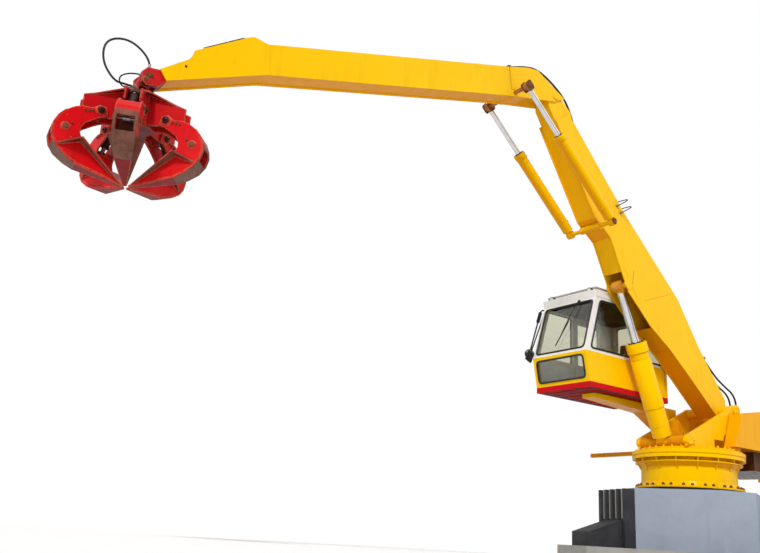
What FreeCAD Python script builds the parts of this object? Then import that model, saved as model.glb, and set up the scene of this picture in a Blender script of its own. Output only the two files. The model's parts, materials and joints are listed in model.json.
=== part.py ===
import FreeCAD, Part
import math
import os
import re

import Sketcher

# A stationary material handler: a slewing column on a fixed pedestal, with a
# two-piece arm, a five-tined grapple and a raised operator's cab.
# Frame: X forward along the arm, Y to the machine's left, Z up, millimetres.
# The origin lies on the slewing axis, in the plane of the footing's underside.

Vector = FreeCAD.Vector
doc = FreeCAD.newDocument("pedestal_material_handler")

# ---------------------------------------------------------------- sizes
# Lengths in millimetres, angles in degrees.
SIZES = {
    # pedestal
    "deck_level": 1900,
    "base_yaw": 24.8,
    "footing_half": 1950,
    "footing_corner": 700,
    "footing_height": 250,
    "anchor_radius": 40,
    "anchor_circle": 3600,
    "column_half": 1135,
    "column_corner": 460,
    "column_height": 970,
    "buttress_near": 500,
    "buttress_far": 330,
    "buttress_depth": 151,
    "buttress_height": 950,
    "rib_width": 60,
    "rib_depth": 40,
    "apron_top": 704,
    "apron_end": 480,
    "apron_reach": 620,
    # slewing ring
    "collar_height": 626,
    "collar_top_radius": 940,
    "collar_foot_radius": 903,
    "collar_waist_radius": 790,
    "collar_bore_radius": 640,
    "collar_ring_radius": 885,
    "gusset_thick": 22,
    "adapter_flare": 60,
    "bearing_height": 15,
    "running_gap": 0.3,
    "shaft_gap": 0.05,
    # turntable and its brackets
    "deck_radius": 820,
    "deck_thick": 35,
    "bracket_inside": 450,
    "bracket_thick": 50,
    "lift_foot_x": 651,
    "lift_foot_z": 2046,
    "lug_radius": 92,
    "boom_pivot_x": -759,
    "boom_pivot_z": 2727,
    "boss_radius": 100,
    "pivot_pin": 55,
    # tail
    "tail_front": -286,
    "tail_end": -3750,
    "tail_floor": 2030,
    "tail_top": 2731,
    "tail_half": 750,
    "tail_plate": 16,
    "recess_end": -1150,
    "recess_half": 525,
    "hatch_start": -1900,
    "hatch_length": 1000,
    "hatch_low": 2120,
    "hatch_height": 520,
    "belly_start": -1060,
    "belly_length": 1500,
    "belly_half": 600,
    "belly_depth": 330,
    "weight_thick": 420,
    "weight_half": 950,
    "weight_low": 1760,
    "weight_height": 1250,
    # cab
    "cab_near": -250,
    "cab_width": 1220,
    "cab_rear": 150,
    "cab_floor": 2793,
    "cab_band": 94,
    "cab_nose": 2230,
    "cab_waist": 3404,
    "cab_chin": 2327,
    "cab_brow": 2038,
    "cab_eaves": 4405,
    "roof_thick": 117,
    "cab_wall": 50,
    "frame_bar": 60,
    "glass_thick": 8,
    "glass_gap": 0.3,
    "door_start": 520,
    "door_width": 750,
    "door_low": 2950,
    "door_top": 4350,
    "door_gap": 6,
    # arm
    "boom_length": 6451,
    "boom_angle": 48.55,
    "boom_width": 396,
    "boom_plate": 16,
    "plate_edge": 20,
    "head_width": 312,
    "stick_drop": 17.3,
    "stick_width": 356,
    "stick_length": 7137,
    "knuckle_pin": 60,
    "ram_spread": 459,
    "lift_eye_along": 3046,
    "lift_eye_across": -630,
    "ram_foot_along": 4184,
    "ram_foot_across": -585,
    "ram_eye_along": 994,
    "hanger_along": 7318,
    "hanger_across": -225,
    # rams
    "lift_barrel_radius": 165,
    "lift_rod_radius": 72,
    "lift_barrel_length": 1745,
    "stick_barrel_radius": 90,
    "stick_rod_radius": 42,
    "stick_barrel_length": 1728,
    "tine_barrel_radius": 48,
    "tine_rod_radius": 26,
    "tine_barrel_length": 380,
    # grapple, in depths below the hanger pin and radii from its axis
    "swing_depth": 110,
    "hub_top": 200,
    "hub_radius": 190,
    "arm_reach": 630,
    "arm_end_top": 393,
    "arm_end_low": 548,
    "tine_pivot_radius": 420,
    "tine_pivot_depth": 555,
    "tine_ram_radius": 420,
    "tine_ram_depth": 360,
    "tine_eye_radius": 767,
    "tine_eye_depth": 858,
    "tine_width": 250,
    "tine_plate": 20,
    "tip_width": 44,
    "tip_depth": 1355,
    "blade_width": 410,
    "shelf_reach": 570,
    "shelf_depth": 958,
    "first_tine": -5,
    # hoses
    "hose_thick": 34,
    "swivel_hose": 26,
    "slim_hose": 18,
}
TINES = 5

sheet = doc.addObject("Spreadsheet::Sheet", "Sizes")
for row, (alias, number) in enumerate(SIZES.items(), start=1):
    sheet.set(f"A{row}", alias)
    sheet.set(f"B{row}", str(number))
    sheet.setAlias(f"B{row}", alias)
doc.recompute()


def linked(text):
    """The expression with each size's name pointing at its cell."""
    return re.sub(r"[a-z][a-z_]+", lambda m: "Sizes." + m[0] if m[0] in SIZES else m[0], str(text))


def size(text):
    """The present value of an expression of sizes."""
    found = sheet.evalExpression(linked(text))
    return float(getattr(found, "Value", found))


def bind(item, **cells):
    """Ties properties of an object to expressions of sizes."""
    for name, text in cells.items():
        item.setExpression(name, linked(text))


# ---------------------------------------------------------------- placements
def plane(origin, across, up):
    """A placement whose local x and y run along two given directions."""
    return FreeCAD.Placement(origin, FreeCAD.Rotation(across, up, across.cross(up), "XYZ"))


def side_plane(x=0.0, y=0.0, z=0.0, pitch=0.0):
    """Local x lies in the XZ plane at a pitch, local y above it, and the normal is -Y."""
    turn = math.radians(pitch)
    along = Vector(math.cos(turn), 0, math.sin(turn))
    return plane(Vector(x, y, z), along, Vector(-math.sin(turn), 0, math.cos(turn)))


def floor_plane(z=0.0, yaw=0.0):
    """Local x at a yaw about the slewing axis, and the normal is up."""
    return FreeCAD.Placement(Vector(0, 0, z), FreeCAD.Rotation(Vector(0, 0, 1), yaw))


def radial_plane(x, z, azimuth):
    """A vertical plane through the axis at x: local x outwards, and local y up."""
    turn = math.radians(azimuth)
    return plane(Vector(x, 0, z), Vector(math.cos(turn), math.sin(turn), 0), Vector(0, 0, 1))


def plan_plane(x, z, azimuth):
    """A level plane over the axis at x: local x outwards at an azimuth, and the normal is up."""
    turn = math.radians(azimuth)
    return plane(Vector(x, 0, z), Vector(math.cos(turn), math.sin(turn), 0), Vector(-math.sin(turn), math.cos(turn), 0))


# ---------------------------------------------------------------- makers
def outline(name, place, corners):
    """A closed sketch of straight edges, each corner held by two bound distances."""
    sketch = doc.addObject("Sketcher::SketchObject", name)
    points = [Vector(size(x), size(y), 0) for x, y in corners]
    count = len(points)
    for number in range(count):
        edge = Part.LineSegment(points[number], points[(number + 1) % count])
        sketch.addGeometry(edge, False)
    for number in range(count):
        sketch.addConstraint(Sketcher.Constraint("Coincident", number, 2, (number + 1) % count, 1))
    for number, (x, y) in enumerate(corners):
        spot = points[number]
        for kind, value, text in (("DistanceX", spot.x, x), ("DistanceY", spot.y, y)):
            index = sketch.addConstraint(Sketcher.Constraint(kind, -1, 1, number, 1, value))
            sketch.setExpression(f"Constraints[{index}]", linked(text))
    sketch.Placement = place
    return sketch


def inset(name, sketch, distance):
    """The outline moved inwards by a distance."""
    made = doc.addObject("Part::Offset2D", name)
    made.Source = sketch
    made.Join = "Intersection"
    bind(made, Value=f"-({distance})")
    return made


def slab(name, source, width, centred=True):
    """An outline made into a plate along its normal, on both sides of it or on one."""
    made = doc.addObject("Part::Extrusion", name)
    made.Base = source
    made.DirMode = "Normal"
    made.Solid = True
    made.Symmetric = centred
    bind(made, LengthFwd=width)
    return made


def strip(name, place, path, thick, width):
    """A bent plate along a path, as thick as given to its right, or to its left if that is below zero."""
    points = [Vector(size(x), size(y), 0) for x, y in path]
    along = [(b - a).normalize() for a, b in zip(points, points[1:])]
    sides = [Vector(d.y, -d.x, 0) for d in along]
    back = []
    for number, (x, y) in enumerate(path):
        first = sides[max(number - 1, 0)]
        second = sides[min(number, len(sides) - 1)]
        mitre = (first + second) * (1 / (1 + first.dot(second)))
        back.append((f"({x}) + ({thick}) * {mitre.x:.5f}", f"({y}) + ({thick}) * {mitre.y:.5f}"))
    return slab(name, outline(f"{name}_side", place, (*path, *reversed(back))), width)


def fan(name, place, stations):
    """A deep prism whose plan is even about a radial line: its half width at each reach."""
    mirrored = [(reach, f"-({half})") for reach, half in reversed(stations)]
    return slab(name, outline(f"{name}_plan", place, (*stations, *mirrored)), "4 * tip_depth")


def block(name, low, high):
    """A box between two corners, each three expressions."""
    made = doc.addObject("Part::Box", name)
    for side, start, end in zip(("Length", "Width", "Height"), low, high):
        bind(made, **{side: f"({end}) - ({start})"})
    for letter, start in zip("xyz", low):
        bind(made, **{f"Placement.Base.{letter}": start})
    return made


def round_bar(name, place, radius, length, start=0.0):
    """A cylinder along a placement's local x, from start."""
    made = doc.addObject("Part::Cylinder", name)
    bind(made, Radius=radius, Height=length)
    turned = FreeCAD.Rotation(Vector(0, 0, 1), Vector(1, 0, 0))
    made.Placement = place.multiply(FreeCAD.Placement(Vector(size(start), 0, 0), turned))
    return made


def cross_bar(name, place, x, y, radius, half):
    """A cylinder along a placement's normal, centred on its plane, at local x and y."""
    made = doc.addObject("Part::Cylinder", name)
    bind(made, Radius=radius, Height=f"2 * ({half})")
    made.Placement = place.multiply(FreeCAD.Placement(Vector(size(x), size(y), -size(half)), FreeCAD.Rotation()))
    return made


def side_bar(name, place, x, radius, low, high):
    """A cylinder along a placement's normal at local x, between two distances from its plane."""
    made = doc.addObject("Part::Cylinder", name)
    bind(made, Radius=radius, Height=f"({high}) - ({low})")
    made.Placement = place.multiply(FreeCAD.Placement(Vector(size(x), 0, size(low)), FreeCAD.Rotation()))
    return made


def upright_bar(name, x, y, low, high, radius):
    """A vertical cylinder between two heights."""
    made = doc.addObject("Part::Cylinder", name)
    bind(made, Radius=radius, Height=f"({high}) - ({low})")
    made.Placement = FreeCAD.Placement(Vector(size(x), size(y), size(low)), FreeCAD.Rotation())
    return made


def joined(name, *pieces):
    """Pieces welded into one."""
    made = doc.addObject("Part::MultiFuse", name)
    made.Shapes = list(pieces)
    made.Refine = True
    return made


def without(name, base, *tools):
    """A piece with others cut out of it."""
    for number, tool in enumerate(tools):
        made = doc.addObject("Part::Cut", f"{name}_{number}")
        made.Base = base
        made.Tool = tool
        base = made
    return base


def shared(name, base, tool):
    """What two pieces have in common."""
    made = doc.addObject("Part::Common", name)
    made.Base = base
    made.Tool = tool
    return made


def loose_set(name, *pieces):
    """Like pieces of one body, which don't touch."""
    made = doc.addObject("Part::Compound", name)
    made.Links = list(pieces)
    return made


NODES = []


def node(label, item):
    """Names a finished sub-part and lists it for writing."""
    item.Label = label
    NODES.append(item)
    return item


# ---------------------------------------------------------------- pedestal
def cornered_square(name, place, half, corner):
    """A square with its corners cut off, as eight bound points."""
    cut = f"({half}) - ({corner})"
    first = ((half, f"-({cut})"), (half, cut), (cut, half), (f"-({cut})", half))
    rest = ((f"-({half})", cut), (f"-({half})", f"-({cut})"), (f"-({cut})", f"-({half})"), (cut, f"-({half})"))
    return outline(name, place, first + rest)


def make_footing():
    plan = cornered_square("footing_plan", floor_plane(0, SIZES["base_yaw"]), "footing_half", "footing_corner")
    raft = slab("footing_raft", plan, "footing_height", centred=False)
    holes = []
    for number in range(8):
        turn = math.radians(SIZES["base_yaw"] + 22.5 + 45 * number)
        reach = size("anchor_circle / 2")
        hole = upright_bar(f"anchor_hole_{number}", "0", "0", "-10", "footing_height + 10", "anchor_radius")
        hole.Placement.Base = Vector(reach * math.cos(turn), reach * math.sin(turn), size("-10"))
        holes.append(hole)
    node("footing", without("footing_drilled", raft, joined("anchor_holes", *holes)))


def make_column():
    place = floor_plane(size("footing_height"), SIZES["base_yaw"])
    plan = cornered_square("column_plan", place, "column_half", "column_corner")
    node("plinth_column", slab("column_shaft", plan, "column_height", centred=False))


def make_buttress(side, yaw):
    """A ribbed block on one cut corner of the column, with a sloping apron at its foot."""
    place = floor_plane(size("footing_height"), yaw)
    face = "column_half * sqrt(2) - column_corner / sqrt(2)"
    corner = "column_corner / sqrt(2)"
    outer = f"({face}) + buttress_depth"
    plan = outline(
        f"{side}_plan",
        place,
        (
            (face, f"-({corner})"),
            (f"({face}) - (buttress_near - {corner})", "-buttress_near"),
            (outer, "-buttress_near"),
            (outer, "buttress_far"),
            (f"({face}) - (buttress_far - {corner})", "buttress_far"),
            (face, corner),
        ),
    )
    pieces = [slab(f"{side}_block", plan, "buttress_height", centred=False)]
    for number in range(5):
        middle = f"-buttress_near + rib_width / 2 + (buttress_near + buttress_far - rib_width) * {number / 4}"
        rib = outline(
            f"{side}_rib_plan_{number}",
            place,
            (
                (f"{outer} - 1", f"{middle} - rib_width / 2"),
                (f"{outer} + rib_depth", f"{middle} - rib_width / 2"),
                (f"{outer} + rib_depth", f"{middle} + rib_width / 2"),
                (f"{outer} - 1", f"{middle} + rib_width / 2"),
            ),
        )
        pieces.append(slab(f"{side}_rib_{number}", rib, "buttress_height", centred=False))
    low = "footing_height"
    start = f"{outer} - 1"
    apron_place = radial_plane(0, 0, yaw)
    apron_place.Base = place.multVec(Vector(0, size("(buttress_far - buttress_near) / 2"), 0)) - Vector(0, 0, size(low))
    slope = outline(
        f"{side}_apron_side",
        apron_place,
        (
            (start, low),
            (f"{outer} + apron_reach", low),
            (f"{outer} + apron_reach", "apron_end"),
            (start, "apron_top"),
        ),
    )
    pieces.append(slab(f"{side}_apron", slope, "buttress_near + buttress_far - 4 * rib_width"))
    return joined(f"{side}_buttress", *pieces)


def make_collar():
    """The fixed spool of the slewing ring: one turned profile with two rings of gussets."""
    body = doc.addObject("PartDesign::Body", "collar_body")
    side = next(item for item in body.Origin.OriginFeatures if item.Role == "XZ_Plane")
    axis = next(item for item in body.Origin.OriginFeatures if item.Role == "Z_Axis")

    def profile(name, corners):
        sketch = outline(name, FreeCAD.Placement(), corners)
        body.addObject(sketch)
        sketch.AttachmentSupport = [(side, "")]
        sketch.MapMode = "FlatFace"
        return sketch

    foot = "deck_level - collar_height"
    spool = profile(
        "collar_profile",
        (
            ("collar_bore_radius", foot),
            ("collar_foot_radius", foot),
            ("collar_foot_radius", f"{foot} + 30"),
            ("collar_waist_radius + 25", f"{foot} + 34"),
            ("collar_waist_radius", f"{foot} + 110"),
            ("collar_waist_radius", "deck_level - 270"),
            ("collar_ring_radius - 40", "deck_level - 205"),
            ("collar_ring_radius", "deck_level - 200"),
            ("collar_ring_radius", "deck_level - 182"),
            ("collar_waist_radius", "deck_level - 182"),
            ("collar_waist_radius", "deck_level - 130"),
            ("collar_top_radius - 6", "deck_level - 130"),
            ("collar_top_radius - 6", "deck_level - 75"),
            ("collar_top_radius - 14", "deck_level - 72"),
            ("collar_top_radius - 14", "deck_level - 66"),
            ("collar_top_radius", "deck_level - 62"),
            ("collar_top_radius", "deck_level"),
            ("collar_bore_radius", "deck_level"),
        ),
    )
    turned = body.newObject("PartDesign::Revolution", "collar_turned")
    turned.Profile = spool
    turned.ReferenceAxis = (axis, [""])
    turned.Angle = 360
    webs = []
    inner = "collar_waist_radius - 15"
    for name, corners in (
        ("foot_gusset", ((inner, f"{foot} + 20"), ("collar_foot_radius - 35", f"{foot} + 20"), (inner, f"{foot} + 150"))),
        ("head_gusset", ((inner, "deck_level - 190"), (inner, "deck_level - 350"),
                         ("collar_ring_radius - 12", "deck_level - 190"))),
        ("neck_web", ((inner, "deck_level - 190"), ("collar_ring_radius - 8", "deck_level - 190"),
                      ("collar_ring_radius + 10", "deck_level - 122"), (inner, "deck_level - 122"))),
    ):
        web = body.newObject("PartDesign::Pad", name)
        web.Profile = profile(f"{name}_side", corners)
        web.SideType = "Symmetric"
        bind(web, Length="gusset_thick")
        webs.append(web)
    ring = body.newObject("PartDesign::PolarPattern", "gusset_ring")
    ring.Originals = webs
    ring.Axis = (axis, [""])
    ring.Angle = 360
    ring.Occurrences = 16
    body.Tip = ring
    node("slew_collar", body)


def make_adapter():
    """The plate between the column and the collar, with a conical skirt."""
    skirt = doc.addObject("Part::Cone", "adapter_skirt")
    bind(
        skirt,
        Radius1="collar_foot_radius + adapter_flare",
        Radius2="collar_foot_radius + 8",
        Height="deck_level - collar_height - footing_height - column_height",
    )
    bind(skirt, **{"Placement.Base.z": "footing_height + column_height"})
    bore = upright_bar(
        "adapter_bore", "0", "0", "footing_height + column_height - 1", "deck_level", "collar_bore_radius"
    )
    node("adapter_ring", without("adapter_plate", skirt, bore))


# ---------------------------------------------------------------- turntable
DECK_TOP = "deck_level + bearing_height + deck_thick"


def make_turntable():
    low = "deck_level + running_gap"
    race = upright_bar("race_disc", "0", "0", low, "deck_level + bearing_height", "deck_radius - 25")
    race_bore = upright_bar("race_bore", "0", "0", "deck_level", "deck_level + 50", "collar_bore_radius + 10")
    node("slew_bearing", without("race_ring", race, race_bore))
    disc = upright_bar("deck_disc", "0", "0", "deck_level + bearing_height", DECK_TOP, "deck_radius")
    well = upright_bar("deck_well", "0", "0", "deck_level", f"{DECK_TOP} + 10", "180")
    node("turntable", without("deck_plate", disc, well))


def make_brackets():
    """Two triangular side plates that carry the boom's foot and the lift ram's."""
    rise = math.atan2(size("boom_pivot_z - lift_foot_z"), size("boom_pivot_x - lift_foot_x"))
    lean = (math.sin(rise), -math.cos(rise))
    plates = []
    for side, middle in (("left", "bracket_inside + bracket_thick / 2"), ("right", "-bracket_inside - bracket_thick / 2")):
        place = side_plane(y=size(middle))
        web = outline(
            f"{side}_web_side",
            place,
            (
                ("boom_pivot_x + 60", DECK_TOP),
                ("lift_foot_x + 70", DECK_TOP),
                (f"lift_foot_x + lug_radius * {lean[0]:.6f}", f"lift_foot_z + lug_radius * {lean[1]:.6f}"),
                (f"boom_pivot_x + boss_radius * {lean[0]:.6f}", f"boom_pivot_z + boss_radius * {lean[1]:.6f}"),
                ("boom_pivot_x + 12", "boom_pivot_z - 20"),
            ),
        )
        plate = slab(f"{side}_web", web, "bracket_thick")
        lug = cross_bar(f"{side}_lug", place, "lift_foot_x", "lift_foot_z", "lug_radius", "bracket_thick / 2 + 10")
        boss = cross_bar(f"{side}_boss", place, "boom_pivot_x", "boom_pivot_z", "boss_radius", "bracket_thick / 2")
        arch_wall = block(
            f"{side}_arch_wall",
            ("boom_pivot_x + 150", f"{middle} - 40", f"{DECK_TOP} - 5"),
            ("boom_pivot_x + 700", f"{middle} + 40", f"{DECK_TOP} + 190"),
        )
        arch_top = cross_bar(f"{side}_arch_top", place, "boom_pivot_x + 290", f"{DECK_TOP} + 190", "140", "40")
        rim = cross_bar(f"{side}_pin_hole", place, "boom_pivot_x", "boom_pivot_z", "pivot_pin + shaft_gap", "40")
        whole = joined(f"{side}_bracket_solid", plate, lug, boss)
        plates.append(without(f"{side}_bracket", whole, arch_wall, arch_top, rim))
    node("boom_brackets", loose_set("bracket_pair", *plates))
    place = side_plane()
    shaft = cross_bar("lift_shaft_core", place, "lift_foot_x", "lift_foot_z", "pivot_pin", "bracket_inside - 10")
    sleeves = []
    for side, sign in (("left", 1), ("right", -1)):
        y = f"{sign} * (bracket_inside - 10 + 118) / 2"
        sleeve = cross_bar(
            f"{side}_sleeve", side_plane(y=size(y)), "lift_foot_x", "lift_foot_z", "lug_radius - 6",
            "(bracket_inside - 10 - 118) / 2",
        )
        sleeves.append(sleeve)
    node("lift_foot_shaft", joined("lift_shaft", shaft, *sleeves))
    pin = cross_bar("foot_pin_bar", place, "boom_pivot_x", "boom_pivot_z", "pivot_pin", "bracket_inside + bracket_thick + 12")
    node("boom_foot_pin", pin)


def make_deck_fittings():
    """The slewing gearmotor, and the arm that stands out at the right of the turntable."""
    x = "150"
    y = "-130"
    case = upright_bar("drive_case", x, y, DECK_TOP, f"{DECK_TOP} + 330", "150")
    flange = upright_bar("drive_flange", x, y, f"{DECK_TOP} + 180", f"{DECK_TOP} + 215", "175")
    motor = upright_bar("drive_motor", x, y, f"{DECK_TOP} + 330", f"{DECK_TOP} + 520", "95")
    node("slew_drive", joined("drive_unit", case, flange, motor))
    bar = joined(
        "bar_arm",
        block("bar_tube", ("100", "-2030", "deck_level + 6"), ("180", "-deck_radius - 4", "deck_level + 76")),
        block("bar_root", ("80", "-840", DECK_TOP), ("200", "-560", f"{DECK_TOP} + 26")),
    )
    node("side_bar", bar)


# ---------------------------------------------------------------- tail
def make_tail():
    side = outline(
        "tail_side",
        side_plane(),
        (
            ("tail_front", "tail_floor"),
            ("tail_front - 247", "tail_top - 100"),
            ("tail_front - 827", "tail_top"),
            ("tail_end", "tail_top"),
            ("tail_end", "tail_floor"),
        ),
    )
    solid = slab("tail_solid", side, "2 * tail_half")
    void = slab("tail_void", inset("tail_void_side", side, "tail_plate"), "2 * (tail_half - tail_plate)")
    shell = without("tail_shell", solid, void)
    liner_box = block(
        "liner_box",
        ("recess_end - tail_plate", "-recess_half - tail_plate", "tail_floor - 1"),
        ("0", "recess_half + tail_plate", "tail_top + 1"),
    )
    liner = shared("recess_liner", solid, liner_box)
    recess = block(
        "recess", ("recess_end", "-recess_half", "tail_floor - 5"), ("5", "recess_half", "tail_top + 5")
    )
    hatch = block(
        "hatch_opening",
        ("hatch_start - hatch_length", "tail_half - 60", "hatch_low"),
        ("hatch_start", "tail_half + 60", "hatch_low + hatch_height"),
    )
    pieces = [without("tail_box", joined("tail_lined", shell, liner), recess, hatch)]
    for word, sign in (("left", 1), ("right", -1)):
        inner, outer = sorted((sign * size("recess_half"), sign * size("recess_half + 110")))
        pieces.append(
            block(f"{word}_rail", ("tail_front - 330", str(inner), DECK_TOP), ("tail_front", str(outer), "tail_floor"))
        )
    for number in range(2):
        low = f"hatch_low + {70 + 330 * number}"
        pin = upright_bar(f"hatch_pin_{number}", "hatch_start + 22", "tail_half + 16", low, f"{low} + 60", "8")
        lug = block(
            f"hatch_lug_{number}",
            ("hatch_start + 10", "tail_half - 1", f"{low} - 20"),
            ("hatch_start + 34", "tail_half + 28", low),
        )
        pieces += [pin, lug]
    node("tail_frame", joined("tail_welded", *pieces))
    door = block(
        "hatch_panel",
        ("hatch_start - hatch_length + door_gap", "tail_half - tail_plate", "hatch_low + door_gap"),
        ("hatch_start - door_gap", "tail_half", "hatch_low + hatch_height - door_gap"),
    )
    leaves = [door]
    holes = []
    for number in range(2):
        low = f"hatch_low + {70 + 330 * number}"
        leaves.append(
            block(
                f"hatch_strap_{number}",
                ("hatch_start - 90", "tail_half + running_gap", f"{low} + running_gap"),
                ("hatch_start + 22", "tail_half + 14", f"{low} + 55"),
            )
        )
        leaves.append(
            block(
                f"hatch_pad_{number}",
                ("hatch_start - 90", "tail_half - 1", f"{low} + running_gap"),
                ("hatch_start - door_gap", "tail_half + 10", f"{low} + 55"),
            )
        )
        leaves.append(
            upright_bar(
                f"hatch_eye_{number}", "hatch_start + 22", "tail_half + 16", f"{low} + running_gap", f"{low} + 55", "14"
            )
        )
        holes.append(
            upright_bar(
                f"hatch_bore_{number}", "hatch_start + 22", "tail_half + 16", f"{low} - 5", f"{low} + 70",
                "8 + shaft_gap",
            )
        )
    node("tail_door", without("hatch_door", joined("hatch_leaf", *leaves), *holes))
    node(
        "power_unit",
        block(
            "power_block",
            ("hatch_start - 980", "-380", "tail_floor + tail_plate"),
            ("hatch_start - 80", "300", "tail_floor + tail_plate + 460"),
        ),
    )
    node(
        "belly_ballast",
        block(
            "belly_block",
            ("belly_start - belly_length", "-belly_half", "tail_floor - belly_depth"),
            ("belly_start", "belly_half", "tail_floor"),
        ),
    )
    weight = outline(
        "weight_side",
        side_plane(),
        (
            ("tail_end", "weight_low"),
            ("tail_end", "weight_low + weight_height"),
            ("tail_end - weight_thick + 120", "weight_low + weight_height"),
            ("tail_end - weight_thick", "weight_low + weight_height - 160"),
            ("tail_end - weight_thick", "weight_low + 200"),
            ("tail_end - weight_thick + 160", "weight_low"),
        ),
    )
    node("counterweight", slab("weight_block", weight, "2 * weight_half"))


# ---------------------------------------------------------------- cab
CAB_FAR = "cab_near - cab_width"


def make_cab_arm():
    """The bracketed beam that carries the cab beside the boom."""
    side = outline(
        "cab_arm_side",
        side_plane(y=size("cab_near - 330")),
        (
            ("tail_front - 247 * 243 / (tail_top - 100 - tail_floor)", "tail_floor + 243"),
            ("tail_front - 247", "tail_top - 100"),
            ("tail_front - 247", "cab_floor"),
            ("cab_nose - 500", "cab_floor"),
            ("cab_nose - 500", "cab_floor - 70"),
            ("cab_rear + 200", "cab_floor - 150"),
        ),
    )
    node("cab_arm", slab("cab_beam", side, "280", centred=False))


def make_cab_shell():
    side = side_plane(y=size("cab_near"))
    base = block("band_block", ("cab_rear", CAB_FAR, "cab_floor"), ("cab_nose", "cab_near", "cab_floor + cab_band"))
    grooves = []
    for number in range(9):
        start = f"cab_rear + 90 + {number} * (cab_nose - cab_rear - 180 - 80) / 8"
        grooves.append(
            block(
                f"groove_{number}",
                (start, f"{CAB_FAR} + 60", "cab_floor - 5"),
                (f"{start} + 80", "cab_near - 60", "cab_floor + 22"),
            )
        )
    kept = without("band_ribbed", base, joined("grooves", *grooves))
    node("cab_base", kept)

    band_top = "cab_floor + cab_band"
    outer = outline(
        "lower_outer",
        side,
        (
            ("cab_rear", band_top),
            ("cab_nose", band_top),
            ("cab_chin - 2", "cab_waist - 43"),
            ("cab_chin", "cab_waist"),
            ("cab_rear", "cab_waist"),
        ),
    )
    inner = outline(
        "lower_inner",
        side_plane(y=size("cab_near - cab_wall")),
        (
            ("cab_rear + cab_wall", f"{band_top} - 5"),
            ("cab_nose - cab_wall - 2", f"{band_top} - 5"),
            ("cab_chin - cab_wall - 2", "cab_waist - 43"),
            ("cab_chin - cab_wall", "cab_waist + 5"),
            ("cab_rear + cab_wall", "cab_waist + 5"),
        ),
    )
    room = slab("lower_room", inner, "cab_width - 2 * cab_wall", centred=False)
    sill = block(
        "door_cut_low",
        ("door_start", f"{CAB_FAR} - 5", "door_low"),
        ("door_start + door_width", f"{CAB_FAR} + cab_wall + 5", "cab_waist + 5"),
    )
    toe = block(
        "toe_window_cut",
        ("cab_nose - 200", f"{CAB_FAR} + frame_bar + 20", f"{band_top} + 70"),
        ("cab_chin + 50", "cab_near - frame_bar - 20", "cab_waist - 70"),
    )
    shell = without("lower_walls", slab("lower_solid", outer, "cab_width", centred=False), room, sill, toe)
    lug_low = hinge_lug("low_hinge", "door_low + 150")
    node("cab_lower_shell", joined("lower_shell", shell, *lug_low))

    frame_outer = outline(
        "upper_outer",
        side,
        (("cab_rear", "cab_waist"), ("cab_chin", "cab_waist"), ("cab_brow", "cab_eaves"), ("cab_rear", "cab_eaves")),
    )
    frame_inner = outline(
        "upper_inner",
        side_plane(y=size("cab_near - cab_wall")),
        (
            ("cab_rear + cab_wall", "cab_waist - 5"),
            ("cab_chin - cab_wall - 2", "cab_waist - 5"),
            ("cab_brow - cab_wall - 2", "cab_eaves + 5"),
            ("cab_rear + cab_wall", "cab_eaves + 5"),
        ),
    )
    room = slab("upper_room", frame_inner, "cab_width - 2 * cab_wall", centred=False)
    screen = block(
        "screen_cut",
        ("cab_brow - 120", f"{CAB_FAR} + frame_bar", "cab_waist + frame_bar"),
        ("cab_chin + 60", "cab_near - frame_bar", "cab_eaves - frame_bar"),
    )
    rear = block(
        "rear_cut",
        ("cab_rear - 5", f"{CAB_FAR} + 2 * frame_bar", "cab_waist + frame_bar"),
        ("cab_rear + cab_wall + 5", "cab_near - 2 * frame_bar", "cab_eaves - frame_bar"),
    )
    near = slab("near_cut", side_window("near_window", "cab_near + 5", "cab_rear + 2 * frame_bar", "0"),
                "cab_wall + 10", centred=False)
    far = slab("far_cut", side_window("far_window", f"{CAB_FAR} + cab_wall + 5", "door_start + door_width + frame_bar", "0"),
               "cab_wall + 10", centred=False)
    door = block(
        "door_cut_high",
        ("door_start", f"{CAB_FAR} - 5", "cab_waist - 5"),
        ("door_start + door_width", f"{CAB_FAR} + cab_wall + 5", "door_top"),
    )
    walls = slab("upper_solid", frame_outer, "cab_width", centred=False)
    frame = without("upper_walls", walls, room, screen, rear, near, far, door)
    lug_high = hinge_lug("high_hinge", "door_top - 200")
    node("cab_upper_frame", joined("upper_frame", frame, *lug_high))

    cap = outline(
        "roof_side",
        side_plane(y=size("cab_near + 10")),
        (
            ("cab_rear - 20", "cab_eaves"),
            ("cab_brow + 2", "cab_eaves"),
            ("cab_brow + 23", "cab_eaves + roof_thick"),
            ("cab_rear - 20", "cab_eaves + roof_thick"),
        ),
    )
    node("cab_roof", slab("roof_cap", cap, "cab_width + 20", centred=False))


def rake(height):
    """The x of the cab's raked front at a height."""
    return f"cab_chin - (cab_chin - cab_brow) * ({height} - cab_waist) / (cab_eaves - cab_waist)"


def side_window(name, y, start, trim):
    """A side window's outline, following the raked front; trim makes the pane smaller."""
    low = f"cab_waist + frame_bar + {trim}"
    high = f"cab_eaves - frame_bar - {trim}"
    front = f"cab_wall + frame_bar + {trim}"
    return outline(
        name,
        side_plane(y=size(y)),
        (
            (f"{start} + {trim}", low),
            (f"{rake(low)} - ({front})", low),
            (f"{rake(high)} - ({front})", high),
            (f"{start} + {trim}", high),
        ),
    )


def hinge_lug(name, height):
    """Two fixed knuckles of a door hinge with the pin between them."""
    x = "door_start - 15"
    y = f"{CAB_FAR} - 18"
    pin = upright_bar(f"{name}_pin", x, y, f"{height} - 40", f"{height} + 40", "10")
    pieces = [pin]
    for word, low in (("under", -40), ("over", 20)):
        pieces.append(upright_bar(f"{name}_{word}", x, y, f"{height} + ({low})", f"{height} + ({low + 20})", "16"))
        pieces.append(
            block(
                f"{name}_{word}_web",
                (f"{x} - 16", y, f"{height} + ({low})"),
                (x, f"{CAB_FAR} + 1", f"{height} + ({low + 20})"),
            )
        )
    return pieces


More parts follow.
